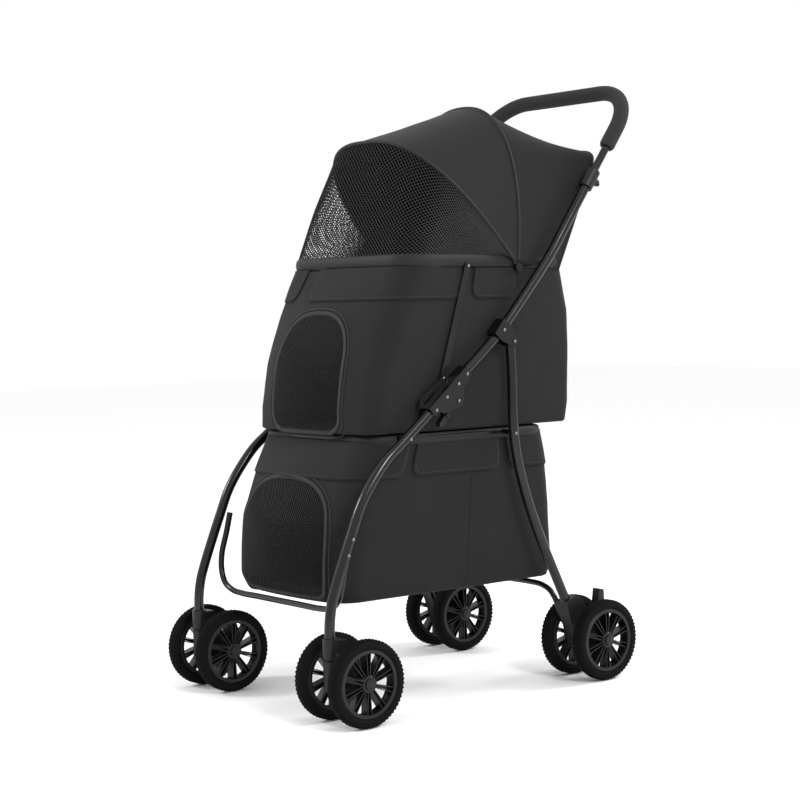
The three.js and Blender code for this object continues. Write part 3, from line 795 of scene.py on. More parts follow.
@dataclass
class Kit:
    """What every sub-assembly is built with."""

    finishes: Finishes
    trees: DetailTrees

    RIVET_FLATTEN = 0.6
    STITCH_MM = 4.2
    THREAD_MM = 0.45

    def rivets(self, name: str, places: Sequence[Vector], radius_mm: float) -> bpy.types.Object:
        """Sets rivet heads at places on upright faces.

        Args:
            name: The object's name.
            places: The rivets' centres.
            radius_mm: Their radius.

        Returns:
            The rivets as one object.
        """
        material = self.finishes.rivet
        points = mesh_object(name, places, [], material)
        values = {"Radius": radius_mm * MM, "Flatten": self.RIVET_FLATTEN, "Material": material}
        return self.trees.apply(points, self.trees.rivets, values)

    def stitching(self, name: str, lines: Sequence[Sequence[Vector]]) -> bpy.types.Object:
        """Sews along lines.

        Args:
            name: The object's name.
            lines: Each line's points.

        Returns:
            The stitches as one object.
        """
        points: list[Vector] = []
        edges: list[tuple[int, int]] = []
        for line in lines:
            start = len(points)
            points.extend(line)
            edges.extend((start + i, start + i + 1) for i in range(len(line) - 1))
        wire = mesh_object(name, points, [], self.finishes.thread, edges=edges)
        sizes = {"Pitch": self.STITCH_MM * MM, "Radius": self.THREAD_MM * MM}
        values = {**sizes, "Material": self.finishes.thread}
        return self.trees.apply(wire, self.trees.stitches, values)

    def net(
        self, name: str, points: Sequence[Vector], edges: Sequence[tuple[int, int]], radius_mm: float
    ) -> bpy.types.Object:
        """Knits yarn along edges.

        Args:
            name: The object's name.
            points: The knots.
            edges: The pairs of knots that yarn joins.
            radius_mm: The yarn's radius.

        Returns:
            The net as one object.
        """
        wire = mesh_object(name, points, [], self.finishes.yarn, edges=edges)
        values = {"Radius": radius_mm * MM, "Material": self.finishes.yarn}
        return self.trees.apply(wire, self.trees.net, values)


def settle(obj: bpy.types.Object, body: str, slot: Slot, replaces: Sequence[str] = ()) -> None:
    """Hands a finished piece to the frame.

    Args:
        obj: The piece.
        body: The body that it moves with.
        slot: The material slot of its finish; not used.
        replaces: The nodes that it stands for.
    """
    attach(obj, body)
    if replaces:
        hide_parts(*replaces)
    LOG.info("%s rides on %s", obj.name, body)


def flipped(points: Sequence[Vector], sign: int = -1) -> list[Vector]:
    """Points mirrored to the far side, or left alone when the sign is 1."""
    return [Vector((p.x * sign, p.y, p.z)) for p in points]


# ---- frame tubes ----
@dataclass(frozen=True)
class TubeLine:
    """A straight line up the side of the frame, from a place on it and its slope."""

    y_mm: float
    z_mm: float
    slope_deg: float

    def place(self, along_mm: float, above_mm: float = 0.0, x_mm: float = RAIL_X_MM) -> Vector:
        """A point given along the line, above it and across.

        Args:
            along_mm: Distance up along the line.
            above_mm: Distance out from the line, at right angles to it.
            x_mm: Distance across.

        Returns:
            The point in the frame.
        """
        turn = math.radians(self.slope_deg)
        return at(
            x_mm,
            self.y_mm + along_mm * math.cos(turn) - above_mm * math.sin(turn),
            self.z_mm + along_mm * math.sin(turn) + above_mm * math.cos(turn),
        )


HUB = TubeLine(y_mm=-32.0, z_mm=553.0, slope_deg=39.5)
HANDLE = TubeLine(y_mm=331.0, z_mm=946.0, slope_deg=53.6)


@dataclass(frozen=True)
class ChassisSize:
    """The sizes of the tube frame, in millimetres."""

    rail_x: float = RAIL_X_MM
    tube: float = 9.0
    tube_steps: int = 80
    brace: float = 5.5
    brace_steps: int = 110
    brace_x: float = 188.0
    rear_brace_x: float = 183.6
    straight_start: float = -190.0
    rivet: float = 3.1
    plate_face: float = 12.4
    plate_step: float = 1.5


class Chassis:
    """The legs, push tubes, cross braces and rivets."""

    def __init__(self, kit: Kit, size: ChassisSize) -> None:
        """Args: kit: the finishes and trees; size: the sizes."""
        self.kit = kit
        self.size = size

    def _rail(self, name: str, side: Side, path: Sequence[Vector], body: str) -> None:
        """One tube on one side.

        Args:
            name: The tube's name in the frame.
            side: Its side.
            path: Its line on the near side.
            body: The body it moves with.
        """
        tube = sweep(
            f"{name}_tube_{side.word}", through(flipped(path, side.value), self.size.tube_steps),
            ring(self.size.tube * MM, 28), self.kit.finishes.tube_enamel, level=Vector((1, 0, 0)),
        )
        settle(tube, body, Slot.PAINT, [f"{name}_{side.word}"])

    def _legs(self, side: Side) -> None:
        """The front leg, push tube and rear leg of one side.

        Args:
            side: The side.
        """
        x = self.size.rail_x
        front = [
            HUB.place(-9.4, 0), HUB.place(-36, 0), HUB.place(-62, 0),
            at(x, -113, 487), at(x, -141, 465), at(x, -175, 438), at(x, -226, 374), at(x, -251, 320),
            at(x, -270, 275), at(x, -286, 235), at(x, -296, 205), at(x, -301, 172), at(x, -301, 124),
        ]
        self._rail("front_leg", side, front, "front_frame")
        start = self.size.straight_start
        push = [
            HUB.place(-8.8, 0), HUB.place(22, 0), HUB.place(52, 0), at(x, 46, 616), at(x, 88, 651),
            at(x, 150, 716), *(HANDLE.place(along) for along in (start, start + 60, -60, -1)),
        ]
        self._rail("push_tube", side, push, "upper_frame")
        rear = [
            at(x, 113.5, 643), at(x, 117, 590), at(x, 118, 540), at(x, 118, 500), at(x, 122, 452),
            at(x, 133, 401), at(x, 151, 345), at(x, 184, 268), at(x, 222, 192), at(x, 246, 144),
            at(x, 262, 112),
        ]
        self._rail("rear_leg", side, rear, "rear_frame")

    def _brace(self, name: str, half: Sequence[Vector], body: str) -> None:
        """A cross brace.

        Args:
            name: The brace's name in the frame.
            half: Its line from the middle to the near side.
            body: The body it moves with.
        """
        path = [*flipped(list(reversed(half))), *half]
        bar = sweep(
            f"{name}_bar", through(path, self.size.brace_steps), ring(self.size.brace * MM, 20),
            self.kit.finishes.tube_enamel,
        )
        settle(bar, body, Slot.PAINT, [name])

    def _rivets(self, side: Side) -> None:
        """The rivet heads on the outside of one side.

        Args:
            side: The side.
        """
        outer = self.size.rail_x + self.size.plate_face
        clamp = outer + self.size.plate_step
        inner = self.size.rail_x + self.size.tube
        upper = [HUB.place(18, 0, outer), HUB.place(-17, 0, outer), HUB.place(44, 0, outer)]
        upper += [HUB.place(-2, -22, clamp), at(outer, 91, 656), at(clamp, 114, 635)]
        lower = [
            at(inner, -125, 473), at(inner, -254, 312), at(inner, -264, 286), HUB.place(-50, -1, outer),
        ]
        rear = [at(inner, 118, 469), at(inner, 250, 137)]
        stay = [at(190.5, -31, 574), at(189.5, 31, 771)]
        groups = (("upper_frame", upper), ("front_frame", lower), ("rear_frame", rear), ("stays", stay))
        for body, places in groups:
            name = f"rivets_{body}_{side.word}"
            heads = self.kit.rivets(name, flipped(places, side.value), self.size.rivet)
            settle(heads, body, Slot.PAINT)

    def build(self) -> None:
        """Builds the tube frame."""
        for side in Side:
            self._legs(side)
            self._rivets(side)
        x = self.size.brace_x
        front = [
            at(60, -262, 186), at(120, -262, 186), at(150, -262, 189), at(172, -263, 200),
            at(184, -262, 222), at(x, -258, 252), at(x, -247, 290), at(x, -238, 326),
        ]
        self._brace("front_brace", front, "front_frame")
        x = self.size.rear_brace_x
        rear = [
            at(60, 240, 176), at(105, 240, 176), at(140, 240, 174), at(165, 240, 165),
            at(179, 241, 148),
            at(x, 246, 128), at(x, 254, 110),
        ]
        self._brace("rear_brace", rear, "rear_frame")


@dataclass(frozen=True)
class HandleSize:
    """The sizes of the push handle, in millimetres."""

    rail_x: float = RAIL_X_MM
    tube: float = 7.3
    grip: float = 14.5
    top: float = 199.0
    corner: float = 98.0
    grip_start: float = 57.0
    buried: float = 130.0
    tube_steps: int = 120
    grip_steps: int = 260
    grip_end: float = 0.72
    grip_rounding: float = 0.008


class Handle:
    """The telescoping tube and its foam grip."""

    def __init__(self, kit: Kit, size: HandleSize) -> None:
        """Args: kit: the finishes and trees; size: the sizes."""
        self.kit = kit
        self.size = size

    def _route(self, start: float) -> list[Vector]:
        """The handle's line: up one side, across and down the other.

        Args:
            start: How far along the handle's slope it starts and ends.

        Returns:
            The line's points.
        """
        s = self.size
        bend = s.top - s.corner
        half = [HANDLE.place(start, 0.0, s.rail_x), HANDLE.place((start + bend) / 2, 0.0, s.rail_x)]
        for i in range(17):
            turn = i / 16 * math.pi / 2
            across = s.rail_x - s.corner + s.corner * math.cos(turn)
            half.append(HANDLE.place(bend + s.corner * math.sin(turn), 0.0, across))
        return half + flipped(list(reversed(half)))

    def build(self) -> None:
        """Builds the handle."""
        s = self.size
        normal = HANDLE.place(0, 1000) - HANDLE.place(0, 0)
        tube = sweep(
            "handle_bar", even(self._route(-s.buried), s.tube_steps), ring(s.tube * MM, 20),
            self.kit.finishes.tube_enamel, level=normal,
        )
        settle(tube, "handle", Slot.PAINT, ["handle_tube"])

        def rounded(share: float) -> float:
            """The grip's size at a share of its length, drawn in at its ends."""
            inward = min(share, 1 - share) / s.grip_rounding
            return min(1.0, s.grip_end + (1 - s.grip_end) * inward) ** 0.5

        grip = sweep(
            "foam_grip", even(self._route(s.grip_start), s.grip_steps), ring(s.grip * MM, 32),
            self.kit.finishes.foam, level=normal, width=rounded,
        )
        settle(grip, "handle", Slot.GRIP, ["handle_grip"])


# ---- wheels ----
@dataclass(frozen=True)
class WheelSize:
    """The sizes of one wheel, in millimetres."""

    radius: float = 75.0
    width: float = 25.0
    rim: float = 58.7
    lip: float = 51.5
    hub: float = 14.5
    spokes: int = 10
    fin: float = 1.5
    fin_gap_hub: float = 4.4
    fin_gap_rim: float = 8.4
    depth: float = 9.0
    lug: float = 3.3
    lugs_round: int = 60
    lug_rows: int = 2
    lug_row_gap: float = 0.165
    lug_height: float = 0.5
    sink_middle: float = 0.5
    sink_edge: float = 1.9
    web_depth: float = 1.2
    front_y: float = -262.0
    rear_y: float = 301.0
    front_gap: float = 46.0
    rear_gap: float = 42.0


class Wheel:
    """A moulded ten-spoke rim in a knurled tyre."""

    def __init__(self, kit: Kit, size: WheelSize) -> None:
        """Args: kit: the finishes and trees; size: the sizes."""
        self.kit = kit
        self.size = size
        self.tyre = self._tyre()
        self.rim = self._rim()

    def _tyre(self) -> bpy.types.Object:
        """The tyre, centred on the origin.

        Returns:
            The tyre with its tread.
        """
        s = self.size
        half = s.width / 2
        side = [
            (s.rim + 0.3, half - 2.4), (61.5, half - 0.5), (63.2, half - 0.4), (64.2, half + 0.0),
            (65.4, half - 0.4), (69.0, half - 0.5), (71.6, half - 2.0), (73.2, half - 4.6),
            (s.radius - 0.9, half - 7.5), (s.radius - 0.7, 0.0),
        ]
        profile = side + [(r, -x) for r, x in reversed(side[:-1])]
        body = spin("tyre_body", profile, 128, self.kit.finishes.tyre)
        places = []
        for row in range(-s.lug_rows, s.lug_rows + 1):
            reach = (s.radius - (s.sink_edge if abs(row) == s.lug_rows else s.sink_middle)) * MM
            across = row * s.width * s.lug_row_gap * MM
            for k in range(s.lugs_round):
                turn = 2 * math.pi * (k + 0.5 * (row % 2)) / s.lugs_round
                places.append(Vector((across, reach * math.cos(turn), reach * math.sin(turn))))
        lugs = mesh_object("tyre_lugs", places, [], self.kit.finishes.tyre)
        values = {"Radius": s.lug * MM, "Height": s.lug_height * MM, "Material": self.kit.finishes.tyre}
        self.kit.trees.apply(lugs, self.kit.trees.tread, values)
        return merged("tyre_master", [body, lugs])

    def _fin(
        self, turn: float, offset_hub: float, offset_rim: float, thick: float, depth: float
    ) -> bpy.types.Object:
        """A thin wall along a spoke, to one side of the spoke's middle.

        Args:
            turn: The spoke's angle.
            offset_hub: The wall's distance from the spoke's middle at the hub.
            offset_rim: The same at the rim.
            thick: The wall's thickness.
            depth: Half its depth along the axle.

        Returns:
            The wall.
        """
        s = self.size
        radial = Vector((0, math.cos(turn), math.sin(turn)))
        across = Vector((0, -math.sin(turn), math.cos(turn)))
        points = []
        for x in (-depth, depth):
            for reach, offset in ((s.hub - 1.5, offset_hub), (s.lip + 1.0, offset_rim)):
                for edge in (-thick / 2, thick / 2):
                    points.append((radial * reach + across * (offset + edge) + Vector((x, 0, 0))) * MM)
        faces = [(0, 1, 3, 2), (4, 6, 7, 5), (0, 4, 5, 1), (2, 3, 7, 6), (0, 2, 6, 4), (1, 5, 7, 3)]
        fin = mesh_object("fin", points, faces, self.kit.finishes.rim, crease_deg=30.0)
        turn_outward(fin)
        return fin

    def _rim(self) -> bpy.types.Object:
        """The rim, centred on the origin.

        Returns:
            The rim with its hub, caps and spokes.
        """
        s = self.size
        lip, rim, hub = s.lip, s.rim, s.hub
        barrel = [
            (lip, -10.4), (rim - 1.2, -10.8), (rim, -9.6), (rim, 9.6), (rim - 1.2, 10.8), (lip, 10.4),
            (lip + 1.6, 7.0), (lip + 1.6, -7.0),
        ]
        boss = [
            (5.6, -11.0), (hub - 1.0, -11.0), (hub, -10.0), (hub, 10.0), (hub - 1.0, 11.0), (5.6, 11.0),
        ]
        cap = [(0.02, 11.3), (9.0, 11.3), (9.8, 12.0), (9.4, 13.2), (8.2, 13.6), (0.02, 13.6)]
        turned = (
            ("barrel", barrel, 96), ("hub", boss, 48), ("cap", cap, 32),
            ("cap_inner", [(r, -x) for r, x in cap], 32),
        )
        parts = [spin(name, profile, steps, self.kit.finishes.rim) for name, profile, steps in turned]
        for k in range(s.spokes):
            turn = 2 * math.pi * (k + 0.5) / s.spokes
            for side in (-0.5, 0.5):
                parts.append(self._fin(turn, side * s.fin_gap_hub, side * s.fin_gap_rim, s.fin, s.depth))
            parts.append(self._fin(turn, 0.0, 0.0, s.fin_gap_hub, s.web_depth))
        return merged("rim_master", parts)

    def place(self, name: str, centre: Vector) -> None:
        """Puts a copy of the wheel on its axle.

        Args:
            name: The wheel's name in the frame.
            centre: Its centre.
        """
        for master, part, slot in ((self.tyre, "tyre", Slot.TYRE), (self.rim, "rim", Slot.RIM)):
            mesh = master.data.copy()
            mesh.transform(Matrix.Translation(centre))
            made = bpy.data.objects.new(f"{name}_{part}_look", mesh)
            bpy.context.scene.collection.objects.link(made)
            settle(made, f"wheel_{name}", slot, [f"{name}_{part}"])

    def build(self) -> None:
        """Places all the wheels and drops the masters."""
        s = self.size
        for end, gap, y in (("front", s.front_gap, s.front_y), ("rear", s.rear_gap, s.rear_y)):
            for side in Side:
                for seat, sign in (("outer", 1), ("inner", -1)):
                    x = side.value * (RAIL_X_MM + sign * gap)
                    self.place(f"{end}_{side.word}_{seat}", at(x, y, s.radius))
        bpy.data.objects.remove(self.tyre)
        bpy.data.objects.remove(self.rim)


# ---- cloth decks ----
@dataclass(frozen=True)
class Level:
    """A rounded rectangle at one height, in millimetres."""

    z: float
    half_width: float
    front: float
    rear: float
    corner: float
    rear_corner: float


@dataclass(frozen=True)
class ArchSize:
    """The arched net window in a deck's front, in millimetres."""

    half_width: float
    bottom: float
    spring: float
    top: float
    corner: float = 28.0
    shoulder: float = 2.6

    def holds(self, x: float, z: float, grow: float = 0.0) -> bool:
        """Whether a place on the front lies inside the window.

        Args:
            x: Distance across.
            z: Height.
            grow: How far outside the edge still counts.

        Returns:
            Whether it does.
        """
        w, low = self.half_width + grow, self.bottom - grow
        if z < low or abs(x) > w:
            return False
        if z > self.spring:
            rise = (z - self.spring) / (self.top + grow - self.spring)
            return (abs(x) / w) ** self.shoulder + rise**self.shoulder <= 1
        across, down = abs(x) - w + self.corner, low + self.corner - z
        return across <= 0 or down <= 0 or math.hypot(across, down) <= self.corner

    def outline(self, grow: float = 0.0, count: int = 160) -> list[tuple[float, float]]:
        """The window's edge, closed, as places on the front.

        Args:
            grow: Distance outside the window's own edge.
            count: How many places.

        Returns:
            Distance across and height of each place.
        """
        w, low, top = self.half_width + grow, self.bottom - grow, self.top + grow
        corner, bend = self.corner, 2 / self.shoulder
        quarter = [i / 6 * math.pi / 2 for i in range(7)]
        centre = w - corner
        line = [Vector((0, low, 0)), Vector((centre, low, 0))]
        for turn in quarter[1:]:
            across, down = corner * math.sin(turn), corner * math.cos(turn)
            line.append(Vector((centre + across, low + corner - down, 0)))
        line.append(Vector((w, self.spring, 0)))
        for i in range(1, 40):
            turn = i / 40 * math.pi
            across = math.copysign(abs(math.cos(turn)) ** bend, math.cos(turn))
            rise = (top - self.spring) * math.sin(turn) ** bend
            line.append(Vector((w * across, self.spring + rise, 0)))
        line.append(Vector((-w, self.spring, 0)))
        for turn in quarter:
            across, down = corner * math.cos(turn), corner * math.sin(turn)
            line.append(Vector((-centre - across, low + corner - down, 0)))
        line.append(Vector((0, low, 0)))
        return [(p.x, p.y) for p in even(line, count, closed=True)]


@dataclass(frozen=True)
class DeckSize:
    """The sizes of one cloth deck, in millimetres."""

    name: str
    body: str
    basket_node: str
    levels: tuple[Level, ...]
    rim: Level
    window: ArchSize
    crown_front: float
    crown_side: float
    crown_rear: float
    hem_half_height: float
    band_top: float
    band_bottom: float
    seed: float


@dataclass(frozen=True)
class TrimSize:
    """The sizes of a window's net and edging and of a deck's hem and seams, in millimetres."""

    tape: float = 4.6
    tape_flat: float = 0.34
    tape_out: float = 3.0
    tape_lift: float = 0.6
    welt: float = 1.9
    welt_out: float = 11.0
    welt_lift: float = 0.8
    stitch_lift: float = 2.0
    net_pitch: float = 2.6
    net_yarn: float = 0.55
    net_under: float = 2.0
    net_lift: float = -0.4
    hem: float = 6.6
    seam: float = 1.3
    seam_flat: float = 0.6
    seam_lift: float = 0.9
    band_lift: float = 2.6
    band_belly: float = 0.8
    band_wave: float = 0.5
    band_cell: float = 5.0
    band_stitch_inset: float = 5.0
    band_stitch_lift: float = 3.9


TRIM = TrimSize()


class Deck:
    """A sewn basket hung from its rim: shell, window net, hem, bands and stitching."""

    ROWS = 54
    CELL_MM = 6.0
    CLOTH_MM = 1.6
    FIRST_ROW_MM = 3.0
    FLOOR_ROWS_MM = ((0.4, -9.0), (0.8, -3.0))
    SAG_MM, SAG_SCALE = 1.5, 8
    RIPPLE_MM, RIPPLE_SCALE = 0.35, 34
    CROWN_FROM, CROWN_SPAN = 0.14, 0.8
    FRONT_DEPTH_MM = 60
    RIM_CLEAR_MM = 2
    SIGHT_FROM = -1.5
    BAND_ROWS = 12

    def __init__(self, kit: Kit, size: DeckSize) -> None:
        """Args: kit: the finishes and trees; size: the sizes."""
        self.kit = kit
        self.size = size
        middle = self._level((size.levels[0].z + size.levels[-1].z) / 2)
        flat = middle.half_width - middle.corner
        rear_flat = 2 * (middle.half_width - middle.rear_corner)
        side = middle.rear - middle.front - middle.corner - middle.rear_corner
        bend, rear_bend = math.pi / 2 * middle.corner, math.pi / 2 * middle.rear_corner
        self.runs = [flat, bend, side, rear_bend, rear_flat, rear_bend, side, bend, flat]
        self.around = sum(self.runs)

    def _level(self, z: float) -> Level:
        """The rounded rectangle at a height.

        Args:
            z: The height.

        Returns:
            The rectangle, drawn between the two nearest of the deck's own.
        """
        levels = self.size.levels
        if z >= levels[-1].z:
            return replace(levels[-1], z=z)
        low, high = next(pair for pair in zip(levels, levels[1:]) if z <= pair[1].z)
        share = max((z - low.z) / (high.z - low.z), 0.0)
        mixed = {
            k: getattr(low, k) + (getattr(high, k) - getattr(low, k)) * share
            for k in ("half_width", "front", "rear", "corner", "rear_corner")
        }
        return Level(z=z, **mixed)

    def _outline(self, level: Level, run: float) -> tuple[float, float, float, float]:
        """Finds a place on a rounded rectangle.

        Args:
            level: The rounded rectangle.
            run: Distance round from the middle of the front.

        Returns:
            The place's X and Y, and its outward direction's.
        """
        run %= self.around
        part = 0
        while part < 8 and run > self.runs[part]:
            run -= self.runs[part]
            part += 1
        share = min(run / self.runs[part], 1.0)
        w, front, rear = level.half_width, level.front, level.rear
        c, k = level.corner, level.rear_corner
        if part in (1, 3, 5, 7):
            start = {1: -90, 3: 0, 5: 90, 7: 180}[part]
            r = c if part in (1, 7) else k
            x0 = (w - r) * (1 if part in (1, 3) else -1)
            y0 = front + r if part in (1, 7) else rear - r
            turn = math.radians(start + 90 * share)
            return x0 + r * math.cos(turn), y0 + r * math.sin(turn), math.cos(turn), math.sin(turn)
        if part == 0:
            return (w - c) * share, front, 0.0, -1.0
        if part == 2:
            return w, front + c + (rear - front - c - k) * share, 1.0, 0.0
        if part == 4:
            return (w - k) * (1 - 2 * share), rear, 0.0, 1.0
        if part == 6:
            return -w, rear - k - (rear - front - c - k) * share, -1.0, 0.0
        return (w - c) * (share - 1), front, 0.0, -1.0

    def place(self, run: float, z: float, lift: float = 0.0, drawn_by: Level | None = None) -> Vector:
        """A point on the cloth.

        Args:
            run: Distance round from the middle of the front, in millimetres.
            z: Height, in millimetres.
            lift: Distance out from the cloth, in millimetres.
            drawn_by: The rounded rectangle to use in place of the deck's own.

        Returns:
            The point in the frame.
        """
        size = self.size
        level = drawn_by or self._level(z)
        x, y, nx, ny = self._outline(level, run)
        low, high = size.levels[0].z, size.levels[-1].z
        share = min(max((z - low) / (high - low), 0.0), 1.0)
        fade = math.sin(math.pi * (self.CROWN_FROM + self.CROWN_SPAN * share))
        middle = (level.front + level.rear) / 2
        half = (level.rear - level.front) / 2
        crown = size.crown_rear if ny > 0 else size.crown_front
        bulge = crown * abs(ny) * (1 - (x / level.half_width) ** 2)
        bulge += size.crown_side * abs(nx) * (1 - ((y - middle) / half) ** 2)
        here = Vector((x, y, z)) * MM
        soft = self.SAG_MM * noise.noise(here * self.SAG_SCALE + Vector((size.seed, 0, 0)))
        soft += self.RIPPLE_MM * noise.noise(here * self.RIPPLE_SCALE)
        if drawn_by is not None:
            fade, soft = 0.0, 0.0
        out = bulge * fade + soft * (1 - share**6) + lift
        return at(x + nx * out, y + ny * out, z)

    def _shell(self) -> bpy.types.Object:
        """The whole cloth, before the window is cut.

        Returns:
            The walls and the floor as one surface.
        """
        size = self.size
        count = round(self.around / self.CELL_MM)
        runs = [self.around * i / count for i in range(count)]
        low, high = size.levels[0].z, size.levels[-1].z
        first = self.FIRST_ROW_MM
        rows = [[self.place(r, low + up, lift) for r in runs] for up, lift in self.FLOOR_ROWS_MM]
        for i in range(self.ROWS + 1):
            z = low + first + (high - low - first) * i / self.ROWS
            rows.append([self.place(r, z) for r in runs])
        shell = grid_surface(f"{size.name}_cloth", rows, self.kit.finishes.oxford, wrap=True)
        work = bmesh.new()
        work.from_mesh(shell.data)
        work.verts.ensure_lookup_table()
        work.faces.new([work.verts[i] for i in reversed(range(count))])
        work.to_mesh(shell.data)
        work.free()
        return shell

    def _cut_window(
        self, shell: bpy.types.Object, front: Callable[[float, float, float], Vector]
    ) -> None:
        """Opens the window and draws the cut edge on to the window's outline.

        Args:
            shell: The deck's cloth.
            front: Finds a place on the front.
        """
        window = self.size.window
        outline = window.outline(0.0, 400)
        work = bmesh.new()
        work.from_mesh(shell.data)
        work.normal_update()
        middle_y = at(0, self._level(window.spring).front + self.FRONT_DEPTH_MM, 0).y
        below = self.size.levels[-1].z - self.RIM_CLEAR_MM
        gone = []
        for face in work.faces:
            centre = face.calc_center_median()
            inside = window.holds(centre.x / MM, centre.z / MM)
            if inside and centre.y < middle_y and len(face.verts) == 4:
                gone.append(face)
        bmesh.ops.delete(work, geom=gone, context="FACES")
        for vert in work.verts:
            x, z = vert.co.x / MM, vert.co.z / MM
            if z < below and any(edge.is_boundary for edge in vert.link_edges):
                nearest = min(outline, key=lambda p: (p[0] - x) ** 2 + (p[1] - z) ** 2)
                vert.co = front(nearest[0], nearest[1], 0.0)
        work.to_mesh(shell.data)
        work.free()

    def _window(self, front: Callable[[float, float, float], Vector]) -> list[bpy.types.Object]:
        """The net and the binding round the window.

        Args:
            front: Finds a place on the front.

        Returns:
            The tape, the welt, the stitches and the net.
        """
        window, name, binding = self.size.window, self.size.name, self.kit.finishes.binding
        out = Vector((0, -1, 0))
        taped = [front(x, z, TRIM.tape_lift) for x, z in window.outline(TRIM.tape_out, 220)]
        tape_section = ring(TRIM.tape * MM, 12, TRIM.tape_flat)
        tape = sweep(f"{name}_window_tape", taped, tape_section, binding, closed=True, level=out)
        corded = [front(x, z, TRIM.welt_lift) for x, z in window.outline(TRIM.welt_out, 220)]
        welt_section = ring(TRIM.welt * MM, 10)
        welt = sweep(f"{name}_window_welt", corded, welt_section, binding, closed=True, level=out)
        sewn = [front(x, z, TRIM.stitch_lift) for x, z in window.outline(TRIM.tape_out, 240)]
        stitches = self.kit.stitching(f"{name}_window_stitches", [sewn])
        pitch, under = TRIM.net_pitch, TRIM.net_under

        def knot(i: int, k: int) -> Vector | None:
            """The net's knot at a column and row, if the window reaches that far."""
            x = -window.half_width - under + i * pitch
            z = window.bottom - under + k * pitch
            return front(x, z, TRIM.net_lift) if window.holds(x, z, under) else None

        columns = int(2 * window.half_width / pitch) + 4
        rows = int((window.top - window.bottom) / pitch) + 4
        net = self.kit.net(f"{name}_window_net", *lattice(columns, rows, knot), TRIM.net_yarn)
        return [tape, welt, stitches, net]

    def band(
        self, name: str, start: float, end: float, corner: float
    ) -> tuple[bpy.types.Object, list[Vector]]:
        """A fold-over band hanging outside the deck from under its hem.

        Args:
            name: The band's name.
            start: Where it starts, as millimetres round from the middle of the front.
            end: Where it ends.
            corner: The radius of its lower corners.

        Returns:
            The band, and its line of stitches.
        """
        size = self.size
        count = max(round((end - start) / TRIM.band_cell), 8)

        def edge(run: float, grow: float = 0.0) -> float:
            """The height of the band's lower edge, or of a line that far inside it."""
            near = min(run - start, end - run) - grow
            if near >= corner:
                return size.band_bottom + grow
            inside = max(corner - max(near, 0.0), 0.0)
            return size.band_bottom + grow + corner - math.sqrt(max(corner**2 - inside**2, 0.0))

        rows = []
        for i in range(self.BAND_ROWS + 1):
            share = i / self.BAND_ROWS
            belly = TRIM.band_lift + TRIM.band_belly * math.sin(math.pi * share)
            row = []
            for k in range(count + 1):
                run = start + (end - start) * k / count
                z = size.band_top + (edge(run) - size.band_top) * share
                wave = TRIM.band_wave * noise.noise(Vector((run * 0.02, z * 0.03, size.seed)))
                row.append(self.place(run, z, belly + wave))
            rows.append(row)
        cloth = grid_surface(name, rows, self.kit.finishes.oxford)
        thicken(cloth, self.CLOTH_MM * MM)
        inset = TRIM.band_stitch_inset
        line = []
        for k in range(count + 1):
            run = start + inset + (end - start - 2 * inset) * k / count
            line.append(self.place(run, edge(run, inset), TRIM.band_stitch_lift))
        return cloth, line

    def run_at(self, x: float, y: float, z: float) -> float:
        """The distance round to the place nearest a point.

        Args:
            x: The point's distance across.
            y: Its distance back.
            z: Its height.

        Returns:
            Millimetres round from the middle of the front.
        """
        goal = at(x, y, z)
        runs = [self.around * i / 1200 for i in range(1200)]
        return min(runs, key=lambda r: (self.place(r, z) - goal).length_squared)

    def build(self) -> None:
        """Builds the shell, its window, hem and stitching."""
        size = self.size
        shell = self._shell()
        tree = BVHTree.FromPolygons(
            [v.co.copy() for v in shell.data.vertices], [tuple(p.vertices) for p in shell.data.polygons]
        )

        def front(x: float, z: float, lift: float) -> Vector:
            """The place on the front at a distance across and a height, lifted off the cloth."""
            eye = Vector((x * MM, self.SIGHT_FROM, z * MM))
            found, normal, _, _ = tree.ray_cast(eye, Vector((0, 1, 0)))
            if found is None:
                return at(x, size.levels[0].front, z)
            facing = normal if normal.y < 0 else -normal
            return found + facing * (lift * MM)

        self._cut_window(shell, front)
        thicken(shell, self.CLOTH_MM * MM)
        rim = size.rim
        hem_path = [self.place(self.around * i / 200, rim.z, 0.0, drawn_by=rim) for i in range(200)]
        section = ring(TRIM.hem * MM, 20, size.hem_half_height / TRIM.hem)
        upright = Vector((0, 0, 1))
        binding = self.kit.finishes.binding
        hem = sweep(f"{size.name}_hem", hem_path, section, binding, closed=True, level=upright)
        details = self._window(front)
        settle(shell, size.body, Slot.OXFORD, [size.basket_node])
        settle(hem, size.body, Slot.OXFORD)
        for piece in details:
            settle(piece, size.body, Slot.MESH if piece.name.endswith("net") else Slot.OXFORD)

    def hang_bands(self, spans: Sequence[tuple[str, float, float, float]]) -> None:
        """Hangs fold-over bands and sews their edges.

        Args:
            spans: Each band's name, start, end and lower corner radius, in millimetres round the deck.
        """
        lines: list[list[Vector]] = []
        for span in spans:
            cloth, seam = self.band(*span)
            settle(cloth, self.size.body, Slot.OXFORD)
            lines.append(seam)
        stitches = self.kit.stitching(f"{self.size.name}_band_stitches", lines)
        settle(stitches, self.size.body, Slot.OXFORD)

    def side_seams(self, y: float, low: float, high: float) -> None:
        """Runs an upright seam down each side.

        Args:
            y: Where the seam is, from the middle of the wheelbase.
            low: Its lower end.
            high: Its upper end.
        """
        for side in Side:
            run = side.value * self.run_at(self._level(low).half_width, y, (low + high) / 2)
            line = [self.place(run, low + (high - low) * i / 40, TRIM.seam_lift) for i in range(41)]
            seam = sweep(
                f"{self.size.name}_seam_{side.word}", line, ring(TRIM.seam * MM, 8, TRIM.seam_flat),
                self.kit.finishes.oxford, level=Vector((side.value, 0, 0)),
            )
            settle(seam, self.size.body, Slot.OXFORD)


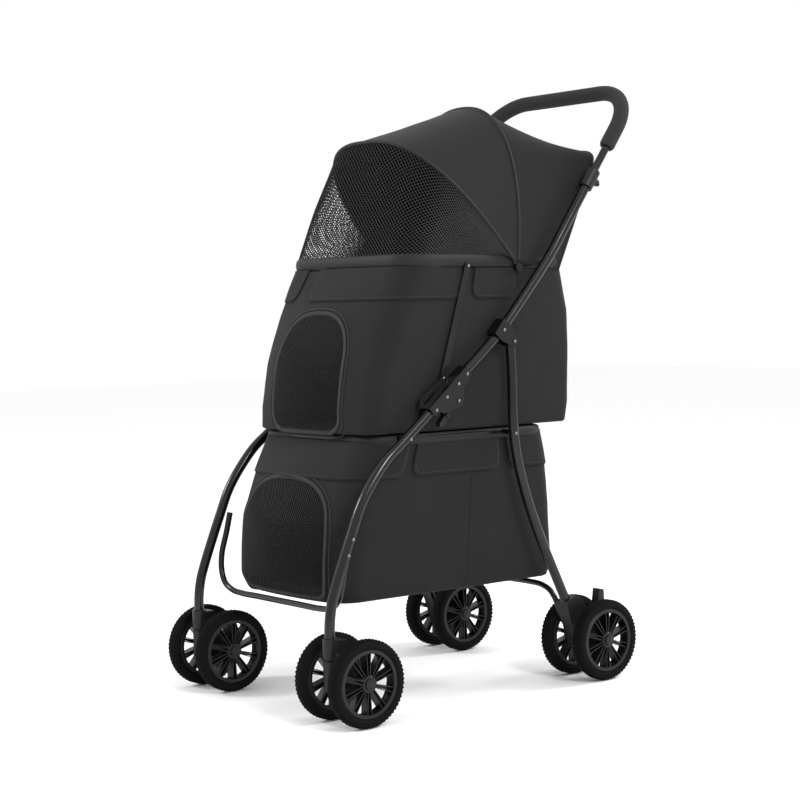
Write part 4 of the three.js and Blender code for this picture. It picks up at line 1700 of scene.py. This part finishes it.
UPPER = DeckSize(
    name="upper_deck",
    body="upper_deck",
    basket_node="upper_basket",
    levels=(
        Level(481, 171, -182, 284, 26, 14),
        Level(520, 173, -178, 290, 28, 14),
        Level(600, 176, -160, 290, 32, 16),
        Level(690, 178, -130, 288, 38, 18),
        Level(768, 178, -102, 276, 48, 26),
    ),
    rim=Level(780, 178, -100, 272, 52, 34),
    window=ArchSize(half_width=97, bottom=486, spring=585, top=688),
    crown_front=38,
    crown_side=4,
    crown_rear=8,
    hem_half_height=13,
    band_top=771,
    band_bottom=713,
    seed=3.1,
)
LOWER = DeckSize(
    name="lower_deck",
    body="lower_deck",
    basket_node="lower_basket",
    levels=(
        Level(192, 154, -232, 250, 36, 22),
        Level(222, 160, -242, 258, 42, 24),
        Level(330, 165, -228, 248, 44, 24),
        Level(410, 168, -202, 240, 46, 26),
        Level(464, 169, -180, 234, 48, 40),
    ),
    rim=Level(469, 171, -176, 230, 50, 46),
    window=ArchSize(half_width=122, bottom=203, spring=300, top=400),
    crown_front=42,
    crown_side=4,
    crown_rear=6,
    hem_half_height=9,
    band_top=468,
    band_bottom=404,
    seed=7.7,
)


# ---- canopy ----
@dataclass(frozen=True)
class BowSize:
    """One wire bow of the canopy, in millimetres and degrees."""

    name: str
    slope_deg: float
    reach: float
    half_width: float
    fullness: float


@dataclass(frozen=True)
class CanopySize:
    """The sizes of the canopy, in millimetres."""

    pivot_y: float = 150.0
    pivot_z: float = 768.0
    piping: float = 3.3
    cloth: float = 1.3
    edge_x: float = 186.0
    edging: float = 2.4
    net_pitch: float = 4.2
    net_yarn: float = 0.95
    net_sag: float = -7.0
    hood_sag: float = 1.5
    tail_sag: float = -2.0
    ripple: float = 1.2
    back_low: tuple[float, float] = (259.0, 763.0)
    back_rise: tuple[float, float] = (96.0, 226.0)
    back_belly: float = 9.0
    back_corner: float = 36.0
    front: BowSize = BowSize("front_bow", 131.3, 309.0, 191.2, 0.75)
    rear: BowSize = BowSize("rear_bow", 83.8, 307.0, 187.4, 0.88)


class Canopy:
    """The net, the two cloth panels on their bows and the back panel."""

    COLUMNS = 120
    ROWS = 28

    def __init__(self, kit: Kit, size: CanopySize, deck: Deck) -> None:
        """Args: kit: the finishes and trees; size: the sizes; deck: the deck it stands on."""
        self.kit = kit
        self.size = size
        self.deck = deck

    def _bow_line(self, bow: BowSize, count: int, first_turn: float = 0.0) -> list[Vector]:
        """Evenly spaced points over a bow, from the near foot to the far foot.

        Args:
            bow: The bow.
            count: How many points.
            first_turn: How far up from its feet the line starts, as an angle.

        Returns:
            The points.
        """
        slope = math.radians(bow.slope_deg)
        dense = []
        for i in range(401):
            turn = first_turn + (math.pi - 2 * first_turn) * i / 400
            rise = max(math.sin(turn), 0.0) ** bow.fullness * bow.reach
            across = math.copysign(abs(math.cos(turn)) ** bow.fullness, math.cos(turn))
            across *= bow.half_width
            y = self.size.pivot_y + rise * math.cos(slope)
            dense.append(at(across, y, self.size.pivot_z + rise * math.sin(slope)))
        return even(dense, count)

    def _rim_line(self, count: int) -> list[Vector]:
        """Points along the hem from the near side, round the front, to the far side.

        Args:
            count: How many points.

        Returns:
            The points.
        """
        reach = self.deck.run_at(178, self.size.pivot_y - 12, 760)
        rim = self.deck.size.rim
        top = rim.z + self.deck.size.hem_half_height - 2
        runs = [reach - 2 * reach * i / (count - 1) for i in range(count)]
        return [self.deck.place(run, top, 1.0, drawn_by=rim) for run in runs]

    def _tube_line(self, count: int) -> list[Vector]:
        """The canopy's rear edge: up behind one push tube, across and down the other.

        Args:
            count: How many points.

        Returns:
            The points.
        """
        x = self.size.edge_x
        half = [
            at(x - 8, 259, 763), at(x - 4, 290, 836), at(x - 1, 320, 905), at(x, 342, 956),
            at(x - 3, 349, 974), at(x - 18, 353, 984), at(x - 60, 355, 988), at(60, 356, 990),
        ]
        return through([*half, *flipped(list(reversed(half)))], count)

    def _between(
        self, first: Sequence[Vector], last: Sequence[Vector], sag_mm: float, rows: int
    ) -> list[list[Vector]]:
        """Draws a cloth from one line to another, hollowed towards the middle.

        Args:
            first: The first line.
            last: The last line, with as many points.
            sag_mm: How deep the hollow is. Below nothing, the cloth bulges out.
            rows: How many steps there are between the lines.

        Returns:
            The cloth's rows.
        """
        centre = at(0, self.size.pivot_y + 20, self.size.pivot_z + 60)
        ends = len(first) - 1
        found = []
        for i in range(rows + 1):
            share = i / rows
            row = []
            for k, (a, b) in enumerate(zip(first, last)):
                point = a.lerp(b, share)
                over = math.sin(math.pi * k / ends) ** 0.5 if 0 < k < ends else 0.0
                ripple = self.size.ripple * noise.noise(point * 14 + Vector((9.0, 0, 0)))
                depth = (sag_mm * over + ripple) * math.sin(math.pi * share)
                row.append(point + (centre - point).normalized() * (depth * MM))
            found.append(row)
        return found

    def _panel(
        self, name: str, rows: Sequence[Sequence[Vector]], rests_on: Sequence[str], **extra: object
    ) -> bpy.types.Object:
        """Makes a cloth panel.

        Args:
            name: The panel's name.
            rows: Its rows of points.
            rests_on: The names of the pieces that hold it; not used.
            **extra: Not used.

        Returns:
            The panel.
        """
        panel = grid_surface(name, rows, self.kit.finishes.oxford)
        area = area_of(panel)
        width = sum((b - a).length for a, b in zip(rows[0], rows[0][1:]))
        length = max((rows[-1][k] - rows[0][k]).length for k in range(len(rows[0])))
        width = max(width, area / length * 1.01)
        thicken(panel, self.size.cloth * MM)
        return panel

    def _net(self, rim: Sequence[Vector], bow: Sequence[Vector]) -> bpy.types.Object:
        """The front net from the hem to the front bow.

        Args:
            rim: The line along the hem.
            bow: The line along the bow.

        Returns:
            The net.
        """
        pitch = self.size.net_pitch * MM
        columns = int(length_of(rim) / pitch) // 2 * 2 + 1
        count = int((bow[len(bow) // 2] - rim[len(rim) // 2]).length / pitch) // 2 * 2 + 1
        lines = even(rim, columns), even(bow, columns)
        rows = self._between(*lines, self.size.net_sag, count - 1)
        knots, edges = lattice(columns, count, lambda i, k: rows[k][i], by_row=True)
        return self.kit.net("canopy_net", knots, edges, self.size.net_yarn)

    def _back_rows(self) -> list[list[Vector]]:
        """The back panel, from its top edge down into the deck's hem.

        Returns:
            The panel's rows.
        """
        s = self.size
        edge = int(s.edge_x)
        (low_y, low_z), (rise_y, rise_z) = s.back_low, s.back_rise
        rows = []
        for i in range(19):
            share = i / 18
            left = 1 - share
            row = []
            for x in range(-edge, edge + 1, 12):
                belly = s.back_belly * math.sin(math.pi * share) * math.cos(math.pi * x / (2 * edge))
                into = max(abs(x) - edge + s.back_corner, 0.0) / s.back_corner
                square = left * (1.0 - into**2 * 0.08 * left)
                drawn_in = x * (1 - 0.043 * share**2)
                row.append(at(drawn_in, low_y + rise_y * square + belly, low_z + rise_z * square))
            rows.append(row)
        return rows

    def _piping(self, bow: BowSize) -> bpy.types.Object:
        """Makes the cloth sleeve round a bow.

        Args:
            bow: The bow.

        Returns:
            The sleeve.
        """
        line = self._bow_line(bow, 150, 0.03)
        section = ring(self.size.piping * MM, 12)
        level = Vector((0, 1, 0.3))
        return sweep(f"{bow.name}_piping", line, section, self.kit.finishes.binding, level=level)

    def build(self) -> None:
        """Builds the canopy."""
        s = self.size
        front = self._bow_line(s.front, self.COLUMNS + 1, 0.02)
        rear = self._bow_line(s.rear, self.COLUMNS + 1, 0.02)
        edge = self._tube_line(self.COLUMNS + 1)
        sleeves = {bow.name: self._piping(bow) for bow in (s.front, s.rear)}
        net = self._net(self._rim_line(400), self._bow_line(s.front, 400, 0.02))
        hood = self._panel(
            "canopy_hood", self._between(front, rear, s.hood_sag, self.ROWS),
            [p.name for p in sleeves.values()], with_pieces=[net, *sleeves.values()],
        )
        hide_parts("canopy_front")
        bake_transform(hood)
        tail_rows = self._between(rear, edge, s.tail_sag, self.ROWS)
        tail = self._panel("canopy_tail", tail_rows, [sleeves["rear_bow"].name])
        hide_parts("canopy_rear")
        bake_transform(tail)
        back = self._panel("canopy_back_cloth", self._back_rows(), ["upper_deck_hem"])
        settle(back, "upper_deck", Slot.OXFORD, ["canopy_back"])
        settle(net, "front_bow", Slot.MESH, ["canopy_mesh"])
        for name, sleeve in sleeves.items():
            settle(sleeve, name, Slot.OXFORD)
        level = Vector((1, 0, 0.2))
        section = ring(s.edging * MM, 10)
        edging = sweep("canopy_tail_edging", edge, section, self.kit.finishes.binding, level=level)
        settle(edging, "upper_deck", Slot.OXFORD)


# ---- finishes on the plain metal and moulded pieces ----
def dress_frame(finishes: Finishes) -> None:
    """Gives the frame's own pieces their materials.

    Args:
        finishes: The materials.
    """
    moulded = ("collar", "release_button", "caster", "wheel_bracket", "brake_pedal", "fold_latch")
    for name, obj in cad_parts.items():
        if obj.hide_render:
            continue
        obj.data.materials.clear()
        obj.data.materials.append(finishes.nylon if name.startswith(moulded) else finishes.enamel)


# ---- studio ----
@dataclass(frozen=True)
class CameraSize:
    """Where the camera stands, in millimetres and degrees."""

    x: float = 2630.1
    y: float = -2076.7
    z: float = 705.3
    azimuth_deg: float = 51.43
    elevation_deg: float = 3.02
    roll_deg: float = -1.13
    lens_mm: float = 81.6


@dataclass(frozen=True)
class Lamp:
    """A soft box: its place and width in metres, and its power in watts."""

    name: str
    place: tuple[float, float, float]
    watts: float
    width: float = 0.9


LAMPS = (
    Lamp("key", (-2.2, -2.8, 2.6), 70.0),
    Lamp("side", (3.0, -0.4, 2.4), 60.0),
    Lamp("rim", (1.2, 3.0, 2.8), 60.0),
)


class Studio:
    """The floor, lights and camera."""

    FLOOR_REACH = 12.0
    FLOOR_GAP = 0.0005
    AIM = (0, 0, 0.55)

    def __init__(self, size: CameraSize) -> None:
        """Args: size: where the camera stands."""
        self.size = size

    def _camera(self) -> None:
        """Sets up the camera."""
        s = self.size
        azimuth, elevation, roll = (math.radians(a) for a in (s.azimuth_deg, s.elevation_deg, s.roll_deg))
        flat = math.cos(elevation)
        back = Vector((math.sin(azimuth) * flat, -math.cos(azimuth) * flat, math.sin(elevation)))
        level = Vector((math.cos(azimuth), math.sin(azimuth), 0))
        over = back.cross(level)
        right = level * math.cos(roll) + over * math.sin(roll)
        up = over * math.cos(roll) - level * math.sin(roll)
        lens = bpy.data.cameras.new("camera")
        lens.lens = s.lens_mm
        camera = bpy.data.objects.new("camera", lens)
        turn = Matrix((right, up, back)).transposed().to_4x4()
        camera.matrix_world = Matrix.Translation(at(s.x, s.y, s.z)) @ turn
        bpy.context.scene.collection.objects.link(camera)
        bpy.context.scene.camera = camera

    def _floor(self) -> None:
        """Lays a pale floor."""
        paper = Finish("paper", "#fbfbfb", 0.9, specular=0.1).material()
        reach, sunk = self.FLOOR_REACH, -self.FLOOR_GAP
        corners = [(-reach, -reach), (reach, -reach), (reach, reach), (-reach, reach)]
        floor = mesh_object("floor", [Vector((x, y, sunk)) for x, y in corners], [(0, 1, 2, 3)], paper)

    def _lights(self) -> None:
        """Hangs three soft boxes in a white room."""
        world = bpy.data.worlds.new("room")
        world.use_nodes = True
        shade = world.node_tree.nodes["Background"]
        shade.inputs["Color"].default_value = srgb("#ffffff")
        shade.inputs["Strength"].default_value = 1.0
        bpy.context.scene.world = world
        bpy.context.scene.view_settings.view_transform = "Standard"
        for lamp in LAMPS:
            light = bpy.data.lights.new(lamp.name, "AREA")
            light.energy = lamp.watts
            light.size = lamp.width
            box = bpy.data.objects.new(lamp.name, light)
            box.location = lamp.place
            aim = Vector(self.AIM) - Vector(lamp.place)
            box.rotation_euler = aim.to_track_quat("-Z", "Y").to_euler()
            bpy.context.scene.collection.objects.link(box)

    def build(self) -> None:
        """Builds the studio."""
        self._floor()
        self._lights()
        self._camera()


def upper_spans(deck: Deck) -> list[tuple[str, float, float, float]]:
    """Where the upper deck's bands and flaps hang.

    Args:
        deck: The upper deck.

    Returns:
        Each one's name, start, end and lower corner radius, in millimetres round the deck.
    """
    stay, front, rear = (deck.run_at(178, y, 745) for y in (26, 47, 147))
    return [
        ("upper_band_right", -65.0, stay, 16.0), ("upper_band_left", -stay, -107.0, 20.0),
        ("upper_flap_right", front, rear, 24.0), ("upper_flap_left", -rear, -front, 24.0),
    ]


def lower_spans(deck: Deck) -> list[tuple[str, float, float, float]]:
    """Where the lower deck's bands and flaps hang.

    Args:
        deck: The lower deck.

    Returns:
        Each one's name, start, end and lower corner radius, in millimetres round the deck.
    """
    leg, front, rear, tail = (deck.run_at(168, y, 440) for y in (-104, -86, 110, 130))
    return [
        ("lower_band_front", -leg, leg, 12.0), ("lower_flap_right", front, rear, 24.0),
        ("lower_flap_left", -rear, -front, 24.0), ("lower_band_rear", tail, deck.around - tail, 12.0),
    ]


def main() -> None:
    """Builds the stroller's looks in order."""
    logging.basicConfig(level=logging.INFO, format="%(message)s")
    kit = Kit(Finishes(), DetailTrees())
    Chassis(kit, ChassisSize()).build()
    Handle(kit, HandleSize()).build()
    Wheel(kit, WheelSize()).build()
    upper = Deck(kit, UPPER)
    upper.build()
    upper.hang_bands(upper_spans(upper))
    lower = Deck(kit, LOWER)
    lower.build()
    lower.hang_bands(lower_spans(lower))
    lower.side_seams(40.0, 196.0, 398.0)
    Canopy(kit, CanopySize(), upper).build()
    dress_frame(kit.finishes)
    Studio(CameraSize()).build()


if __name__ == "__main__":
    main()
